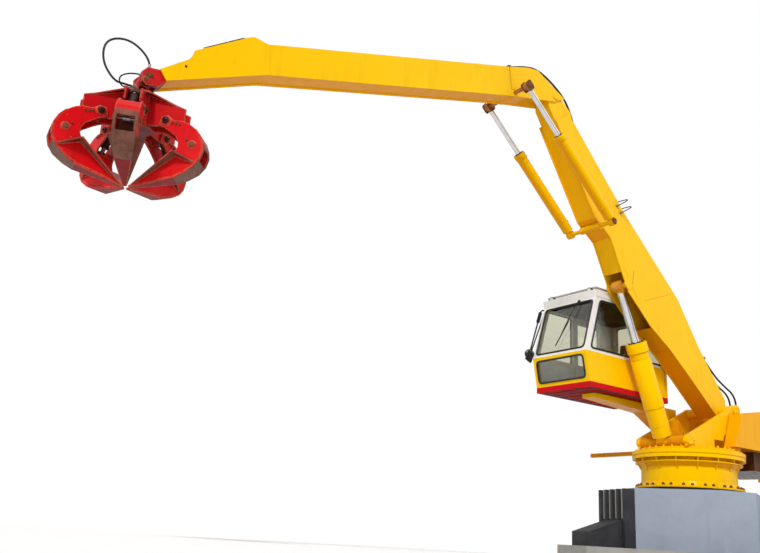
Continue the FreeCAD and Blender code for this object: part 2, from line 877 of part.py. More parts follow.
def make_cab_door():
    face = f"{CAB_FAR}"
    leaf = block(
        "door_leaf",
        ("door_start + door_gap", face, "door_low + door_gap"),
        ("door_start + door_width - door_gap", f"{face} + cab_wall - 5", "door_top - door_gap"),
    )
    light = block(
        "door_light",
        ("door_start + 80", f"{face} - 5", "cab_waist + frame_bar"),
        ("door_start + door_width - 80", f"{face} + cab_wall + 5", "door_top - 80"),
    )
    pieces = [leaf]
    bores = []
    for word, height in (("low", "door_low + 150"), ("high", "door_top - 200")):
        x = "door_start - 15"
        y = f"{CAB_FAR} - 18"
        span = (f"{height} - 20 + running_gap", f"{height} + 20 - running_gap")
        pieces.append(upright_bar(f"door_{word}_eye", x, y, span[0], span[1], "16"))
        pieces.append(
            block(
                f"door_{word}_strap",
                (f"{x} + 4", f"{CAB_FAR} - 26", span[0]),
                ("door_start + 110", f"{CAB_FAR} - 8", span[1]),
            )
        )
        pieces.append(
            block(
                f"door_{word}_pad",
                ("door_start + 30", f"{CAB_FAR} - 9", span[0]),
                ("door_start + 110", f"{CAB_FAR} + 1", span[1]),
            )
        )
        bores.append(upright_bar(f"door_{word}_bore", x, y, f"{height} - 60", f"{height} + 60", "10 + shaft_gap"))
    node("cab_door", without("door_cut", joined("door_solid", *pieces), light, *bores))
    pane = block(
        "door_pane",
        ("door_start + 80 + glass_gap", f"{face} + 18", "cab_waist + frame_bar + glass_gap"),
        ("door_start + door_width - 80 - glass_gap", f"{face} + 18 + glass_thick", "door_top - 80 - glass_gap"),
    )
    node("cab_door_glass", pane)


def make_cab_glass():
    panes = []
    low = "cab_waist + frame_bar + glass_gap"
    high = "cab_eaves - frame_bar - glass_gap"
    screen = outline(
        "screen_side",
        side_plane(y=size("cab_near - frame_bar - glass_gap")),
        (
            (f"{rake(low)} - 20 - glass_thick", low),
            (f"{rake(low)} - 20", low),
            (f"{rake(high)} - 20", high),
            (f"{rake(high)} - 20 - glass_thick", high),
        ),
    )
    panes.append(slab("screen_pane", screen, "cab_width - 2 * frame_bar - 2 * glass_gap", centred=False))
    foot = "cab_floor + cab_band + 70 + glass_gap"
    head = "cab_waist - 70 - glass_gap"
    slope = "(cab_chin - 2 - cab_nose) / (cab_waist - 43 - cab_floor - cab_band)"
    toe = outline(
        "toe_side",
        side_plane(y=size("cab_near - frame_bar - 20 - glass_gap")),
        (
            (f"cab_nose + (70 + glass_gap) * {slope} - 18 - glass_thick", foot),
            (f"cab_nose + (70 + glass_gap) * {slope} - 18", foot),
            (f"cab_nose + ({head} - cab_floor - cab_band) * {slope} - 18", head),
            (f"cab_nose + ({head} - cab_floor - cab_band) * {slope} - 18 - glass_thick", head),
        ),
    )
    panes.append(slab("toe_pane", toe, "cab_width - 2 * frame_bar - 40 - 2 * glass_gap", centred=False))
    near = side_window("near_pane_side", "cab_near - 20", "cab_rear + 2 * frame_bar", "glass_gap")
    panes.append(slab("near_pane", near, "glass_thick", centred=False))
    far = side_window("far_pane_side", f"{CAB_FAR} + 28", "door_start + door_width + frame_bar", "glass_gap")
    panes.append(slab("far_pane", far, "glass_thick", centred=False))
    panes.append(
        block(
            "rear_pane",
            ("cab_rear + 20", f"{CAB_FAR} + 2 * frame_bar + glass_gap", low),
            ("cab_rear + 20 + glass_thick", "cab_near - 2 * frame_bar - glass_gap", high),
        )
    )
    node("cab_windows", loose_set("pane_set", *panes))


def make_cab_fittings():
    floor = "cab_floor + cab_band"
    middle = "cab_near - cab_width / 2"
    seat_x = "cab_rear + 520"
    plinth = block("seat_plinth", (f"{seat_x} - 180", f"{middle} - 190", floor), (f"{seat_x} + 180", f"{middle} + 190", f"{floor} + 330"))
    cushion = block("seat_cushion", (f"{seat_x} - 240", f"{middle} - 250", f"{floor} + 325"), (f"{seat_x} + 260", f"{middle} + 250", f"{floor} + 450"))
    back = outline(
        "seat_back_side",
        side_plane(y=size(f"{middle} + 235")),
        (
            (f"{seat_x} - 250", f"{floor} + 400"),
            (f"{seat_x} - 130", f"{floor} + 400"),
            (f"{seat_x} - 230", f"{floor} + 1080"),
            (f"{seat_x} - 330", f"{floor} + 1080"),
        ),
    )
    node("operator_seat", joined("seat_whole", plinth, cushion, slab("seat_back", back, "470", centred=False)))
    boxes = []
    for word, sign in (("left", 1), ("right", -1)):
        centre = f"{middle} + {sign} * 340"
        stand = block(f"{word}_stand", (f"{seat_x} - 60", f"{centre} - 60", floor), (f"{seat_x} + 330", f"{centre} + 60", f"{floor} + 560"))
        grip = upright_bar(f"{word}_grip", f"{seat_x} + 270", centre, f"{floor} + 555", f"{floor} + 700", "22")
        boxes.append(joined(f"{word}_console", stand, grip))
    node("control_consoles", loose_set("console_pair", *boxes))
    arm_y = f"{CAB_FAR} - 45"
    upper_arm = block("mirror_arm_root", ("cab_brow - 60", arm_y, "cab_eaves - 60"), ("cab_brow - 30", f"{CAB_FAR} + 2 - 2", "cab_eaves - 30"))
    reach = side_plane(x=size("cab_brow - 45"), y=size(f"{CAB_FAR} - 33"), z=size("cab_eaves - 45"), pitch=-67)
    bar = round_bar("mirror_bar", reach, "12", "960")
    head = outline(
        "mirror_head_side",
        reach,
        (("900", "-70"), ("1090", "-70"), ("1090", "70"), ("900", "70")),
    )
    node("cab_mirror", joined("mirror_whole", upper_arm, bar, slab("mirror_head", head, "34")))
    rails = []
    level = "cab_eaves + roof_thick"
    for word, y in (("left", "cab_near - 60"), ("right", f"{CAB_FAR} + 60")):
        rails.append(block(f"{word}_roof_tube", ("cab_rear + 60", f"{y} - 15", f"{level} + 45"), ("cab_brow - 40", f"{y} + 15", f"{level} + 75")))
        for number in range(3):
            x = f"cab_rear + 70 + {number} * (cab_brow - cab_rear - 150) / 2"
            rails.append(block(f"{word}_rail_post_{number}", (x, f"{y} - 10", level), (f"{x} + 24", f"{y} + 10", f"{level} + 50")))
    for word, x in (("front", "cab_brow - 70"), ("back", "cab_rear + 60")):
        rails.append(
            block(f"{word}_roof_tube", (x, f"{CAB_FAR} + 60", f"{level} + 45"), (f"{x} + 30", "cab_near - 60", f"{level} + 75"))
        )
    node("roof_rail", joined("rail_frame", *rails))


# ---------------------------------------------------------------- arm
def boom_point(along, across):
    """A point given in the boom's own frame, as x and z of the machine's."""
    turn = math.radians(SIZES["boom_angle"])
    s, t = size(along), size(across)
    x = size("boom_pivot_x") + s * math.cos(turn) - t * math.sin(turn)
    z = size("boom_pivot_z") + s * math.sin(turn) + t * math.cos(turn)
    return Vector(x, 0, z)


def stick_point(along, across):
    """A point given in the stick's own frame, as x and z of the machine's."""
    turn = math.radians(-SIZES["stick_drop"])
    s, t = size(along), size(across)
    knuckle = boom_point("boom_length", "0")
    x = knuckle.x + s * math.cos(turn) - t * math.sin(turn)
    z = knuckle.z + s * math.sin(turn) + t * math.cos(turn)
    return Vector(x, 0, z)


def box_girder(name, side, width):
    """A welded box: two side plates whose edges stand proud of the cover plates between them."""
    solid = slab(f"{name}_solid", side, width)
    gap_width = f"({width}) - 2 * boom_plate"
    gap_side = inset(f"{name}_gap_side", side, "-10")
    gap = slab(f"{name}_gap", gap_side, gap_width)
    plates = without(f"{name}_plates", solid, gap)
    cover = slab(f"{name}_cover_solid", inset(f"{name}_cover_side", side, "plate_edge"), gap_width)
    void = slab(f"{name}_void", inset(f"{name}_void_side", side, "plate_edge + boom_plate"), gap_width)
    return joined(f"{name}_welded", plates, without(f"{name}_cover", cover, void))


def make_boom():
    place = side_plane(x=size("boom_pivot_x"), z=size("boom_pivot_z"), pitch=SIZES["boom_angle"])
    back = (
        ("boom_length - 400", "120"),
        ("boom_length - 480", "85"),
        ("boom_length * 0.632", "181"),
        ("boom_length * 0.333", "410"),
        ("boom_length * 0.19", "310"),
        ("60", "285"),
    )
    front = (
        ("-110", "60"),
        ("-60", "-130"),
        ("128", "-175"),
        ("boom_length * 0.141", "-310"),
        ("boom_length * 0.25", "-452"),
        ("lift_eye_along - 864", "lift_eye_across + 3"),
        ("lift_eye_along - 118", "lift_eye_across - 94"),
        ("lift_eye_along + 134", "lift_eye_across - 36"),
        ("ram_foot_along - 297", "ram_foot_across + 108"),
        ("ram_foot_along + 164", "ram_foot_across - 12"),
        ("boom_length - 340", "-311"),
    )
    side = outline("boom_side", place, back + front)
    girder = box_girder("boom", side, "boom_width")
    head_side = outline(
        "boom_head_side",
        place,
        (
            ("boom_length - 640", "60"),
            ("boom_length - 380", "190"),
            ("boom_length - 60", "130"),
            ("boom_length + 130", "30"),
            ("boom_length + 90", "-110"),
            ("boom_length - 75", "-250"),
            ("boom_length - 351", "-290"),
            ("boom_length - 640", "-300"),
        ),
    )
    head = slab("boom_head", head_side, "head_width")
    head_hole = slab("boom_head_slot", inset("boom_head_slot_side", head_side, "55"), "head_width - 60")
    foot_tube = cross_bar("boom_foot_tube", place, "0", "0", "boss_radius - 5", "bracket_inside - door_gap")
    ram_tube = cross_bar(
        "ram_foot_tube", place, "ram_foot_along", "ram_foot_across", "62", "boom_width / 2 + 12"
    )
    ram_pin = cross_bar("ram_foot_bar", place, "ram_foot_along", "ram_foot_across", "35", "ram_spread + 50")
    eye_boss = cross_bar("lift_eye_boss", place, "lift_eye_along", "lift_eye_across", "95", "boom_width / 2 + 10")
    cavity = outline(
        "lift_cavity_side",
        place,
        (
            ("lift_eye_along - 900", "lift_eye_across + 330"),
            ("lift_eye_along + 330", "lift_eye_across + 330"),
            ("lift_eye_along + 134", "lift_eye_across - 400"),
            ("lift_eye_along - 900", "lift_eye_across - 400"),
        ),
    )
    mouth = slab("lift_cavity", cavity, "boom_width - 2 * boom_plate")
    pin_hole = cross_bar("boom_foot_hole", place, "0", "0", "pivot_pin + shaft_gap", "bracket_inside")
    knuckle_hole = cross_bar(
        "boom_knuckle_hole", place, "boom_length", "0", "knuckle_pin + shaft_gap", "head_width"
    )
    hollow_head = without("boom_head_open", head, head_hole)
    knuckle_boss = cross_bar("boom_knuckle_boss", place, "boom_length", "0", "120", "head_width / 2")
    whole = joined("boom_joined", girder, hollow_head, knuckle_boss, foot_tube, ram_tube, ram_pin, eye_boss)
    node("boom", without("boom_finished", whole, mouth, pin_hole, knuckle_hole))


def make_stick():
    knuckle = boom_point("boom_length", "0")
    place = side_plane(x=knuckle.x, z=knuckle.z, pitch=-SIZES["stick_drop"])
    side = outline(
        "stick_side",
        place,
        (
            ("-222", "-36"),
            ("308", "444"),
            ("551", "478"),
            ("1050", "454"),
            ("stick_length * 0.78", "374"),
            ("stick_length * 0.805", "455"),
            ("stick_length * 0.816", "446"),
            ("stick_length * 0.93", "184"),
            ("stick_length * 0.941", "69"),
            ("stick_length", "-99"),
            ("stick_length - 54", "-243"),
            ("stick_length * 0.793", "-60"),
            ("1053", "-58"),
            ("65", "-100"),
        ),
    )
    girder = box_girder("stick", side, "stick_width")
    fork_side = outline(
        "fork_gap_side",
        place,
        (
            ("-400", "-400"),
            ("700", "-400"),
            ("700", "200"),
            ("430", "330"),
            ("-120", "420"),
            ("-400", "300"),
        ),
    )
    fork_gap = slab("fork_gap", fork_side, "stick_width - 2 * boom_plate")
    closing = block_on(place, "stick_diaphragm", ("700", "-40"), ("716", "430"), "stick_width - 2 * boom_plate")
    pin = cross_bar("knuckle_bar", place, "0", "0", "knuckle_pin", "stick_width / 2 + 14")
    eye_pad = cross_bar("ram_eye_pad", place, "ram_eye_along", "0", "70", "stick_width / 2")
    hole = cross_bar("tip_sight_hole", place, "stick_length * 0.952", "-38", "18", "stick_width")
    whole = joined("stick_joined", without("stick_forked", girder, fork_gap), closing, pin, eye_pad)
    node("stick", without("stick_finished", whole, hole))

    hanger_x = "hanger_along"
    hanger_y = "hanger_across"
    cheek_side = outline(
        "tip_cheek_side",
        place,
        (
            ("stick_length - 100", "-215"),
            ("stick_length - 40", "-100"),
            ("hanger_along - 40", "hanger_across + 150"),
            ("hanger_along + 40", "hanger_across + 95"),
            ("hanger_along + 58", "hanger_across - 20"),
            ("hanger_along + 20", "hanger_across - 72"),
            ("hanger_along - 120", "hanger_across - 90"),
        ),
    )
    cheeks = slab("tip_cheeks", cheek_side, "300")
    slot_side = outline(
        "tip_slot_side",
        place,
        (
            ("hanger_along - 165", "hanger_across - 200"),
            ("hanger_along + 200", "hanger_across - 200"),
            ("hanger_along + 200", "hanger_across + 200"),
            ("hanger_along - 95", "hanger_across + 200"),
            ("hanger_along - 95", "hanger_across + 25"),
            ("hanger_along - 165", "hanger_across - 85"),
        ),
    )
    slot = slab("tip_slot", slot_side, "200")
    bolt = cross_bar("hanger_bar", place, hanger_x, hanger_y, "35", "165")
    overlap = slab("tip_keepout", inset("tip_keepout_side", side, "plate_edge"), "stick_width + 10")
    node("stick_tip_fork", without("tip_fork", joined("tip_whole", without("tip_slotted", cheeks, slot), bolt), overlap))


def block_on(place, name, low, high, width):
    """A plate of a given width about a side plane, between two local corners."""
    return slab(name, outline(f"{name}_side", place, ((low[0], low[1]), (high[0], low[1]), (high[0], high[1]), (low[0], high[1]))), width)


# ---------------------------------------------------------------- rams
def make_ram(label, place, sizes, eye_at):
    """A hydraulic ram along a placement's local x: its barrel and its rod, as two sub-parts."""
    radius, rod, length, reach_in, foot_radius, foot_half, foot_bore, eye_radius, eye_half, pin_radius, pin_span = sizes
    bore = f"{rod} + shaft_gap"
    start = f"({foot_radius}) + 12"
    barrel = round_bar(f"{label}_tube", place, radius, f"({length}) - ({start})", start)
    neck = round_bar(f"{label}_neck", place, f"({foot_half}) * 0.9", f"{start} + 20")
    gland = round_bar(f"{label}_gland", place, f"({radius}) * 1.07", f"({radius}) * 0.45", f"({length}) - ({radius}) * 0.45")
    foot = cross_bar(f"{label}_foot_eye", place, "0", "0", foot_radius, foot_half)
    hole = cross_bar(f"{label}_foot_bore", place, "0", "0", foot_bore, f"({foot_half}) + 10")
    well = round_bar(f"{label}_well", place, bore, f"({length}) - ({start}) - 25", f"{start} + 30")
    whole = joined(f"{label}_barrel_solid", barrel, neck, gland, foot)
    node(f"{label}_barrel", without(f"{label}_barrel_cut", whole, hole, well))
    shaft = round_bar(f"{label}_shaft", place, rod, f"({eye_at}) - ({reach_in})", reach_in)
    eye = cross_bar(f"{label}_eye", place, eye_at, "0", eye_radius, eye_half)
    pin = side_bar(f"{label}_eye_pin", place, eye_at, pin_radius, *pin_span)
    node(f"{label}_rod", joined(f"{label}_rod_whole", shaft, eye, pin))


def ram_plane(foot, eye, normal):
    """The placement of a ram from its foot to its eye, in the plane with the given normal."""
    along = (eye - foot).normalize()
    return plane(foot, along, normal.cross(along))


def make_arm_rams():
    foot = Vector(size("lift_foot_x"), 0, size("lift_foot_z"))
    eye = boom_point("lift_eye_along", "lift_eye_across")
    make_ram(
        "lift",
        ram_plane(foot, eye, Vector(0, -1, 0)),
        ("lift_barrel_radius", "lift_rod_radius", "lift_barrel_length", "950", "lug_radius - 6", "110",
         "pivot_pin + shaft_gap", "105", "100", "60",
         ("-boom_width / 2 + boom_plate + 0.5", "boom_width / 2 - boom_plate - 0.5")),
        str((eye - foot).Length),
    )
    for side, sign in (("left", 1), ("right", -1)):
        shift = Vector(0, sign * size("ram_spread"), 0)
        inward = ("-50", "ram_spread - stick_width / 2 - 0.5")
        foot = boom_point("ram_foot_along", "ram_foot_across") + shift
        eye = stick_point("ram_eye_along", "0") + shift
        make_ram(
            f"stick_{side}",
            ram_plane(foot, eye, Vector(0, -1, 0)),
            ("stick_barrel_radius", "stick_rod_radius", "stick_barrel_length", "950", "70", "45",
             "35 + shaft_gap", "62", "50", "36", inward if sign > 0 else (f"-({inward[1]})", f"-({inward[0]})")),
            str((eye - foot).Length),
        )


# ---------------------------------------------------------------- grapple
def make_hanger():
    """The universal joint under the stick's tip, and the rotator's stem."""
    top = stick_point("hanger_along", "hanger_across")
    place = side_plane(x=top.x, z=top.z)
    eye = cross_bar("hanger_eye", place, "0", "0", "62", "94")
    bore = cross_bar("hanger_bore", place, "0", "0", "35 + shaft_gap", "120")
    cheeks = slab(
        "hanger_cheeks",
        outline("hanger_side", place, (("-75", "-40"), ("75", "-40"), ("75", "-swing_depth - 30"), ("-75", "-swing_depth - 30"))),
        "130",
    )
    gap = slab(
        "hanger_gap",
        outline("hanger_gap_side", place, (("-45", "-66"), ("45", "-66"), ("45", "-swing_depth - 60"), ("-45", "-swing_depth - 60"))),
        "200",
    )
    swing_pin = round_bar("hanger_swing_pin", side_plane(x=top.x, z=top.z - size("swing_depth")), "25", "180", "-90")
    node("hanger_link", joined("hanger_whole", without("hanger_forked", joined("hanger_solid", eye, cheeks), bore, gap), swing_pin))
    axis = side_plane(x=top.x, z=top.z - size("swing_depth"))
    lug = round_bar("rotator_lug", axis, "42", "80", "-40")
    neck = upright_bar("rotator_neck", "0", "0", "0", "1", "1")
    bind(neck, Radius="36", Height="hub_top - swing_depth - 20")
    neck.Placement.Base = Vector(top.x, 0, top.z - size("hub_top - 20"))
    plate = upright_bar("rotator_plate", "0", "0", "0", "1", "1")
    bind(plate, Radius="150", Height="28")
    plate.Placement.Base = Vector(top.x, 0, top.z - size("hub_top") + size("running_gap"))
    lug_bore = round_bar("rotator_bore", axis, "25 + shaft_gap", "200", "-100")
    node("grapple_rotator", without("rotator_bored", joined("rotator_whole", lug, neck, plate), lug_bore))
    return top


def make_hub(top):
    """The grapple's head: a drum with five pairs of cheek plates for the tines and their rams."""
    pieces = []
    drum = upright_bar("hub_drum", "0", "0", "0", "1", "1")
    bind(drum, Radius="hub_radius", Height="tine_pivot_depth + 60 - hub_top")
    drum.Placement.Base = Vector(top.x, 0, top.z - size("tine_pivot_depth + 60"))
    pieces.append(drum)
    pins = []
    slots = []
    slope = "(arm_end_top - hub_top) / (arm_reach - hub_radius)"
    for number in range(TINES):
        azimuth = SIZES["first_tine"] + 360 / TINES * number
        place = radial_plane(top.x, top.z, azimuth)
        cheek = outline(
            f"cheek_side_{number}",
            place,
            (
                ("0", "-hub_top"),
                ("hub_radius", "-hub_top"),
                ("arm_reach", "-arm_end_top"),
                ("arm_reach", "-arm_end_low"),
                ("tine_pivot_radius + 70", "-tine_pivot_depth - 15"),
                ("tine_pivot_radius + 22", "-tine_pivot_depth - 60"),
                ("tine_pivot_radius - 50", "-tine_pivot_depth - 60"),
                ("0", "-tine_pivot_depth - 30"),
            ),
        )
        pieces.append(slab(f"cheek_{number}", cheek, "tine_width - 2 * tine_plate - 20"))
        roof = strip(
            f"roof_strip_{number}",
            place,
            (("hub_radius - 60", "-hub_top"), ("hub_radius", "-hub_top"), ("arm_reach", "-arm_end_top")),
            "18",
            "3 * tine_width",
        )
        star = fan(
            f"roof_star_{number}",
            plan_plane(top.x, top.z, azimuth),
            (
                ("hub_radius - 70", "tine_width - 45"),
                ("tine_pivot_radius + 100", "tine_width / 2 - tine_plate - 7"),
                ("arm_reach + 10", "tine_width / 2 - tine_plate - 7"),
            ),
        )
        pieces.append(shared(f"roof_{number}", roof, star))
        slot = outline(
            f"slot_side_{number}",
            place,
            (
                ("hub_radius + 10", f"-hub_top - 34 - 10 * {slope}"),
                ("tine_ram_radius - 42", f"-hub_top - 34 - (tine_ram_radius - 42 - hub_radius) * {slope}"),
                ("tine_ram_radius - 42", "-hub_top + 50"),
                ("arm_reach + 30", "-hub_top + 50"),
                ("arm_reach + 30", "-tine_pivot_depth - 100"),
                ("hub_radius + 10", "-tine_pivot_depth - 100"),
            ),
        )
        slots.append(slab(f"slot_{number}", slot, "tine_width - 4 * tine_plate - 20"))
        pins.append(
            cross_bar(f"tine_pin_{number}", place, "tine_pivot_radius", "-tine_pivot_depth", "36", "tine_width / 2 + 18")
        )
        pins.append(
            cross_bar(
                f"tine_ram_pin_{number}", place, "tine_ram_radius", "-tine_ram_depth", "22",
                "tine_width / 2 - 2 * tine_plate",
            )
        )
    solid = joined("hub_solid", *pieces)
    cut = without("hub_slotted", solid, joined("hub_slots", *slots))
    node("grapple_hub", joined("hub_whole", cut, *pins))


def make_tine(number, top):
    """One claw: side plates, a windowed back plate and a flared inner plate that narrow to the tip."""
    azimuth = SIZES["first_tine"] + 360 / TINES * number
    place = radial_plane(top.x, top.z, azimuth)
    level = plan_plane(top.x, top.z, azimuth)
    shelf_end = ("tine_eye_radius + 58", "-tine_eye_depth - 217")
    corner = ("shelf_reach", "-shelf_depth")
    cheek = outline(
        f"tine_side_{number}",
        place,
        (
            ("tine_pivot_radius - 80", "-tine_pivot_depth - 45"),
            ("tine_pivot_radius - 60", "-tine_pivot_depth + 55"),
            ("tine_pivot_radius + 20", "-tine_pivot_depth + 68"),
            ("tine_pivot_radius + 90", "-tine_pivot_depth + 10"),
            ("tine_pivot_radius + 200", "-tine_pivot_depth"),
            ("tine_eye_radius - 67", "-tine_eye_depth + 268"),
            ("tine_eye_radius + 25", "-tine_eye_depth + 198"),
            ("tine_eye_radius + 90", "-tine_eye_depth + 112"),
            ("tine_eye_radius + 124", "-tine_eye_depth + 18"),
            ("tine_eye_radius + 135", "-tine_eye_depth - 72"),
            ("tine_eye_radius + 108", "-tine_eye_depth - 170"),
            shelf_end,
            corner,
            ("tine_eye_radius - 165", "-tine_eye_depth - 32"),
            ("tine_eye_radius - 167", "-tine_eye_depth + 28"),
            ("tine_eye_radius - 207", "-tine_eye_depth + 108"),
            ("tine_pivot_radius + 20", "-tine_pivot_depth - 105"),
        ),
    )
    eye_boss = cross_bar(f"tine_eye_boss_{number}", place, "tine_eye_radius", "-tine_eye_depth", "45", "tine_width / 2 + 14")
    pivot_boss = cross_bar(f"tine_boss_{number}", place, "tine_pivot_radius", "-tine_pivot_depth", "58", "tine_width / 2 + 10")
    middle = block_on(
        place, f"tine_middle_{number}", ("0", "-2 * tip_depth"), ("2 * tine_eye_radius", "0"), "tine_width - 2 * tine_plate"
    )
    cheeks = without(
        f"tine_cheeks_{number}", joined(f"tine_upper_{number}", slab(f"tine_solid_{number}", cheek, "tine_width"), eye_boss, pivot_boss),
        middle,
    )
    web = slab(
        f"tine_web_{number}",
        outline(
            f"tine_web_side_{number}",
            place,
            (
                ("shelf_reach", "-shelf_depth + 6"),
                ("tine_eye_radius + 106", "-tine_eye_depth - 172"),
                ("tine_eye_radius + 40", "-tine_eye_depth - 262"),
                ("tine_eye_radius - 75", "-tine_eye_depth - 344"),
                ("tine_eye_radius - 182", "-tine_eye_depth - 394"),
                ("50", "-tip_depth + 3"),
                ("42", "-tip_depth + 17"),
            ),
        ),
        "2 * tine_width",
    )
    narrowing = fan(
        f"web_narrowing_{number}",
        level,
        (("30", "tip_width / 2 - 6"), ("tine_eye_radius + 113", "tine_width / 2"), ("2 * tine_eye_radius", "tine_width / 2")),
    )
    inside = fan(
        f"web_inside_{number}",
        level,
        (
            ("tine_eye_radius - 582", "tip_width / 2 - 6"),
            ("tine_eye_radius + 113", "tine_width / 2 - tine_plate"),
            ("2 * tine_eye_radius", "tine_width / 2 - tine_plate"),
        ),
    )
    webs = without(f"tine_webs_{number}", shared(f"tine_blade_{number}", web, narrowing), inside)
    back = strip(
        f"tine_back_{number}",
        place,
        (
            ("tine_eye_radius + 28", "-tine_eye_depth + 203"),
            ("tine_eye_radius + 95", "-tine_eye_depth + 116"),
            ("tine_eye_radius + 132", "-tine_eye_depth + 20"),
            ("tine_eye_radius + 145", "-tine_eye_depth - 72"),
            ("tine_eye_radius + 118", "-tine_eye_depth - 174"),
            ("tine_eye_radius + 48", "-tine_eye_depth - 269"),
            ("tine_eye_radius - 67", "-tine_eye_depth - 352"),
            ("tine_eye_radius - 177", "-tine_eye_depth - 402"),
            ("50", "-tip_depth"),
        ),
        "24",
        "2 * tine_width",
    )
    back_plan = fan(
        f"back_plan_{number}",
        level,
        (("30", "tip_width / 2 - 2"), ("tine_eye_radius + 60", "tine_width / 2 + 4"), ("2 * tine_eye_radius", "tine_width / 2 + 4")),
    )
    inner = strip(
        f"tine_inner_{number}",
        place,
        (
            ("tine_eye_radius - 179", "-tine_eye_depth + 60"),
            ("tine_eye_radius - 165", "-tine_eye_depth + 20"),
            ("tine_eye_radius - 165", "-tine_eye_depth - 40"),
            corner,
        ),
        "-18",
        "tine_width",
    )
    blade = strip(f"blade_face_{number}", place, (corner, ("46", "-tip_depth + 16")), "-18", "2 * blade_width")
    blade_plan = fan(
        f"blade_plan_{number}",
        level,
        (("30", "tip_width / 2 - 6"), ("shelf_reach", "blade_width / 2"), ("shelf_reach + 60", "blade_width / 2")),
    )
    shelf = strip(f"shelf_plate_{number}", place, (corner, shelf_end), "16", "2 * blade_width")
    shelf_plan = fan(
        f"shelf_plan_{number}",
        level,
        (
            ("shelf_reach - 30", "blade_width / 2"),
            ("shelf_reach + 8", "blade_width / 2"),
            ("tine_eye_radius + 58", "tine_width / 2 - 2"),
            ("tine_eye_radius + 90", "tine_width / 2 - 2"),
        ),
    )
    whole = joined(
        f"tine_whole_{number}",
        cheeks,
        webs,
        shared(f"tine_back_cut_{number}", back, back_plan),
        inner,
        shared(f"blade_face_cut_{number}", blade, blade_plan),
        shared(f"shelf_cut_{number}", shelf, shelf_plan),
    )
    window = block_on(
        place,
        f"tine_window_{number}",
        ("tine_eye_radius + 80", "-tine_eye_depth - 190"),
        ("tine_eye_radius + 200", "-tine_eye_depth - 24"),
        "tine_width - 2 * tine_plate - 20",
    )
    bore = cross_bar(f"tine_bore_{number}", place, "tine_pivot_radius", "-tine_pivot_depth", "36 + shaft_gap", "tine_width")
    node(f"grapple_tine_{number + 1}", without(f"tine_shaped_{number}", whole, window, bore))


def make_tine_ram(number, top):
    place = radial_plane(top.x, top.z, SIZES["first_tine"] + 360 / TINES * number)
    foot = place.multVec(Vector(size("tine_ram_radius"), -size("tine_ram_depth"), 0))
    eye = place.multVec(Vector(size("tine_eye_radius"), -size("tine_eye_depth"), 0))
    normal = place.Rotation.multVec(Vector(0, 0, 1))
    make_ram(
        f"tine_{number + 1}",
        ram_plane(foot, eye, normal),
        ("tine_barrel_radius", "tine_rod_radius", "tine_barrel_length", "245", "42", "tine_width / 2 - 2 * tine_plate - 14",
         "22 + shaft_gap", "42", "40", "24",
         ("-tine_width / 2 + tine_plate + 0.5", "tine_width / 2 - tine_plate - 0.5")),
        str((eye - foot).Length),
    )


# ---------------------------------------------------------------- hoses
def hose(name, route, thick):
    """A round hose along straight runs, with an arc at each corner that touches both."""
    edges = []
    start = route[0]
    smallest = math.inf
    for before, corner, after in zip(route, route[1:], route[2:]):
        back, ahead = (before - corner), (after - corner)
        half = (math.pi - back.getAngle(ahead)) / 2
        cut = 0.45 * min(back.Length, ahead.Length)
        radius = cut / math.tan(half)
        smallest = min(smallest, radius)
        enter = corner + back.normalize() * cut
        leave = corner + ahead.normalize() * cut
        middle = corner + (back + ahead).normalize() * radius * (1 / math.cos(half) - 1)
        edges += [Part.LineSegment(start, enter).toShape(), Part.Arc(enter, middle, leave).toShape()]
        start = leave
    edges.append(Part.LineSegment(start, route[-1]).toShape())
    path = Part.Wire(edges)
    ring = Part.Wire(Part.Circle(route[0], route[1] - route[0], thick / 2).toShape())
    made = doc.addObject("Part::Feature", name)
    made.Shape = path.makePipeShell([ring], True, False)
    print(f"{name}: smallest bend {smallest:.0f} mm, {path.Length:.0f} mm long")
    return made


def make_foot_hoses():
    """Three hoses from a bulkhead on the tail over to a clamp on the boom's back."""
    pieces = []
    for number in range(3):
        across = Vector(0, -90 + 120 * number, 0)
        route = [Vector(-1340, 0, size("tail_top + 20")), Vector(-1340, 0, size("tail_top + 169")), Vector(-1230, 0, size("tail_top + 359"))]
        route += [Vector(-960, 0, size("tail_top + 459")), boom_point("560", "350"), boom_point("930", "338")]
        pieces.append(hose(f"foot_hose_{number}", [spot + across for spot in route], size("hose_thick")))
    bulkhead = block("hose_bulkhead", ("-1380", "-150", "tail_top + 0.2"), ("-1300", "210", "tail_top + 50"))
    place = side_plane(x=size("boom_pivot_x"), y=30, z=size("boom_pivot_z"), pitch=SIZES["boom_angle"])
    rise = "25 * (930 - 60) / (boom_length * 0.19 - 60) + 285"
    clamp = block_on(place, "foot_clamp", ("900", f"{rise} + 1.6"), ("960", f"{rise} + 75"), "330")
    node("foot_hoses", joined("foot_hose_set", *pieces, bulkhead, clamp))


def make_knuckle_hoses():
    """Three hoses from the boom's back over the knuckle to the stick's top."""
    pieces = []
    for number in range(3):
        across = Vector(0, -70 + 70 * number, 0)
        route = [boom_point("5515", "136"), stick_point("-425", "-500"), stick_point("-350", "-80"), stick_point("-130", "200")]
        route += [stick_point("180", "452"), stick_point("500", "522"), stick_point("890", "498")]
        pieces.append(hose(f"knuckle_hose_{number}", [spot + across for spot in route], size("hose_thick")))
    lower_place = side_plane(x=size("boom_pivot_x"), z=size("boom_pivot_z"), pitch=SIZES["boom_angle"])
    lower = block_on(lower_place, "boom_clamp", ("5480", "90.2"), ("5550", "170"), "200")
    knuckle = boom_point("boom_length", "0")
    upper_place = side_plane(x=knuckle.x, z=knuckle.z, pitch=-SIZES["stick_drop"])
    upper = block_on(upper_place, "stick_clamp", ("850", "443.9"), ("920", "532"), "200")
    node("knuckle_hoses", joined("knuckle_hose_set", *pieces, lower, upper))


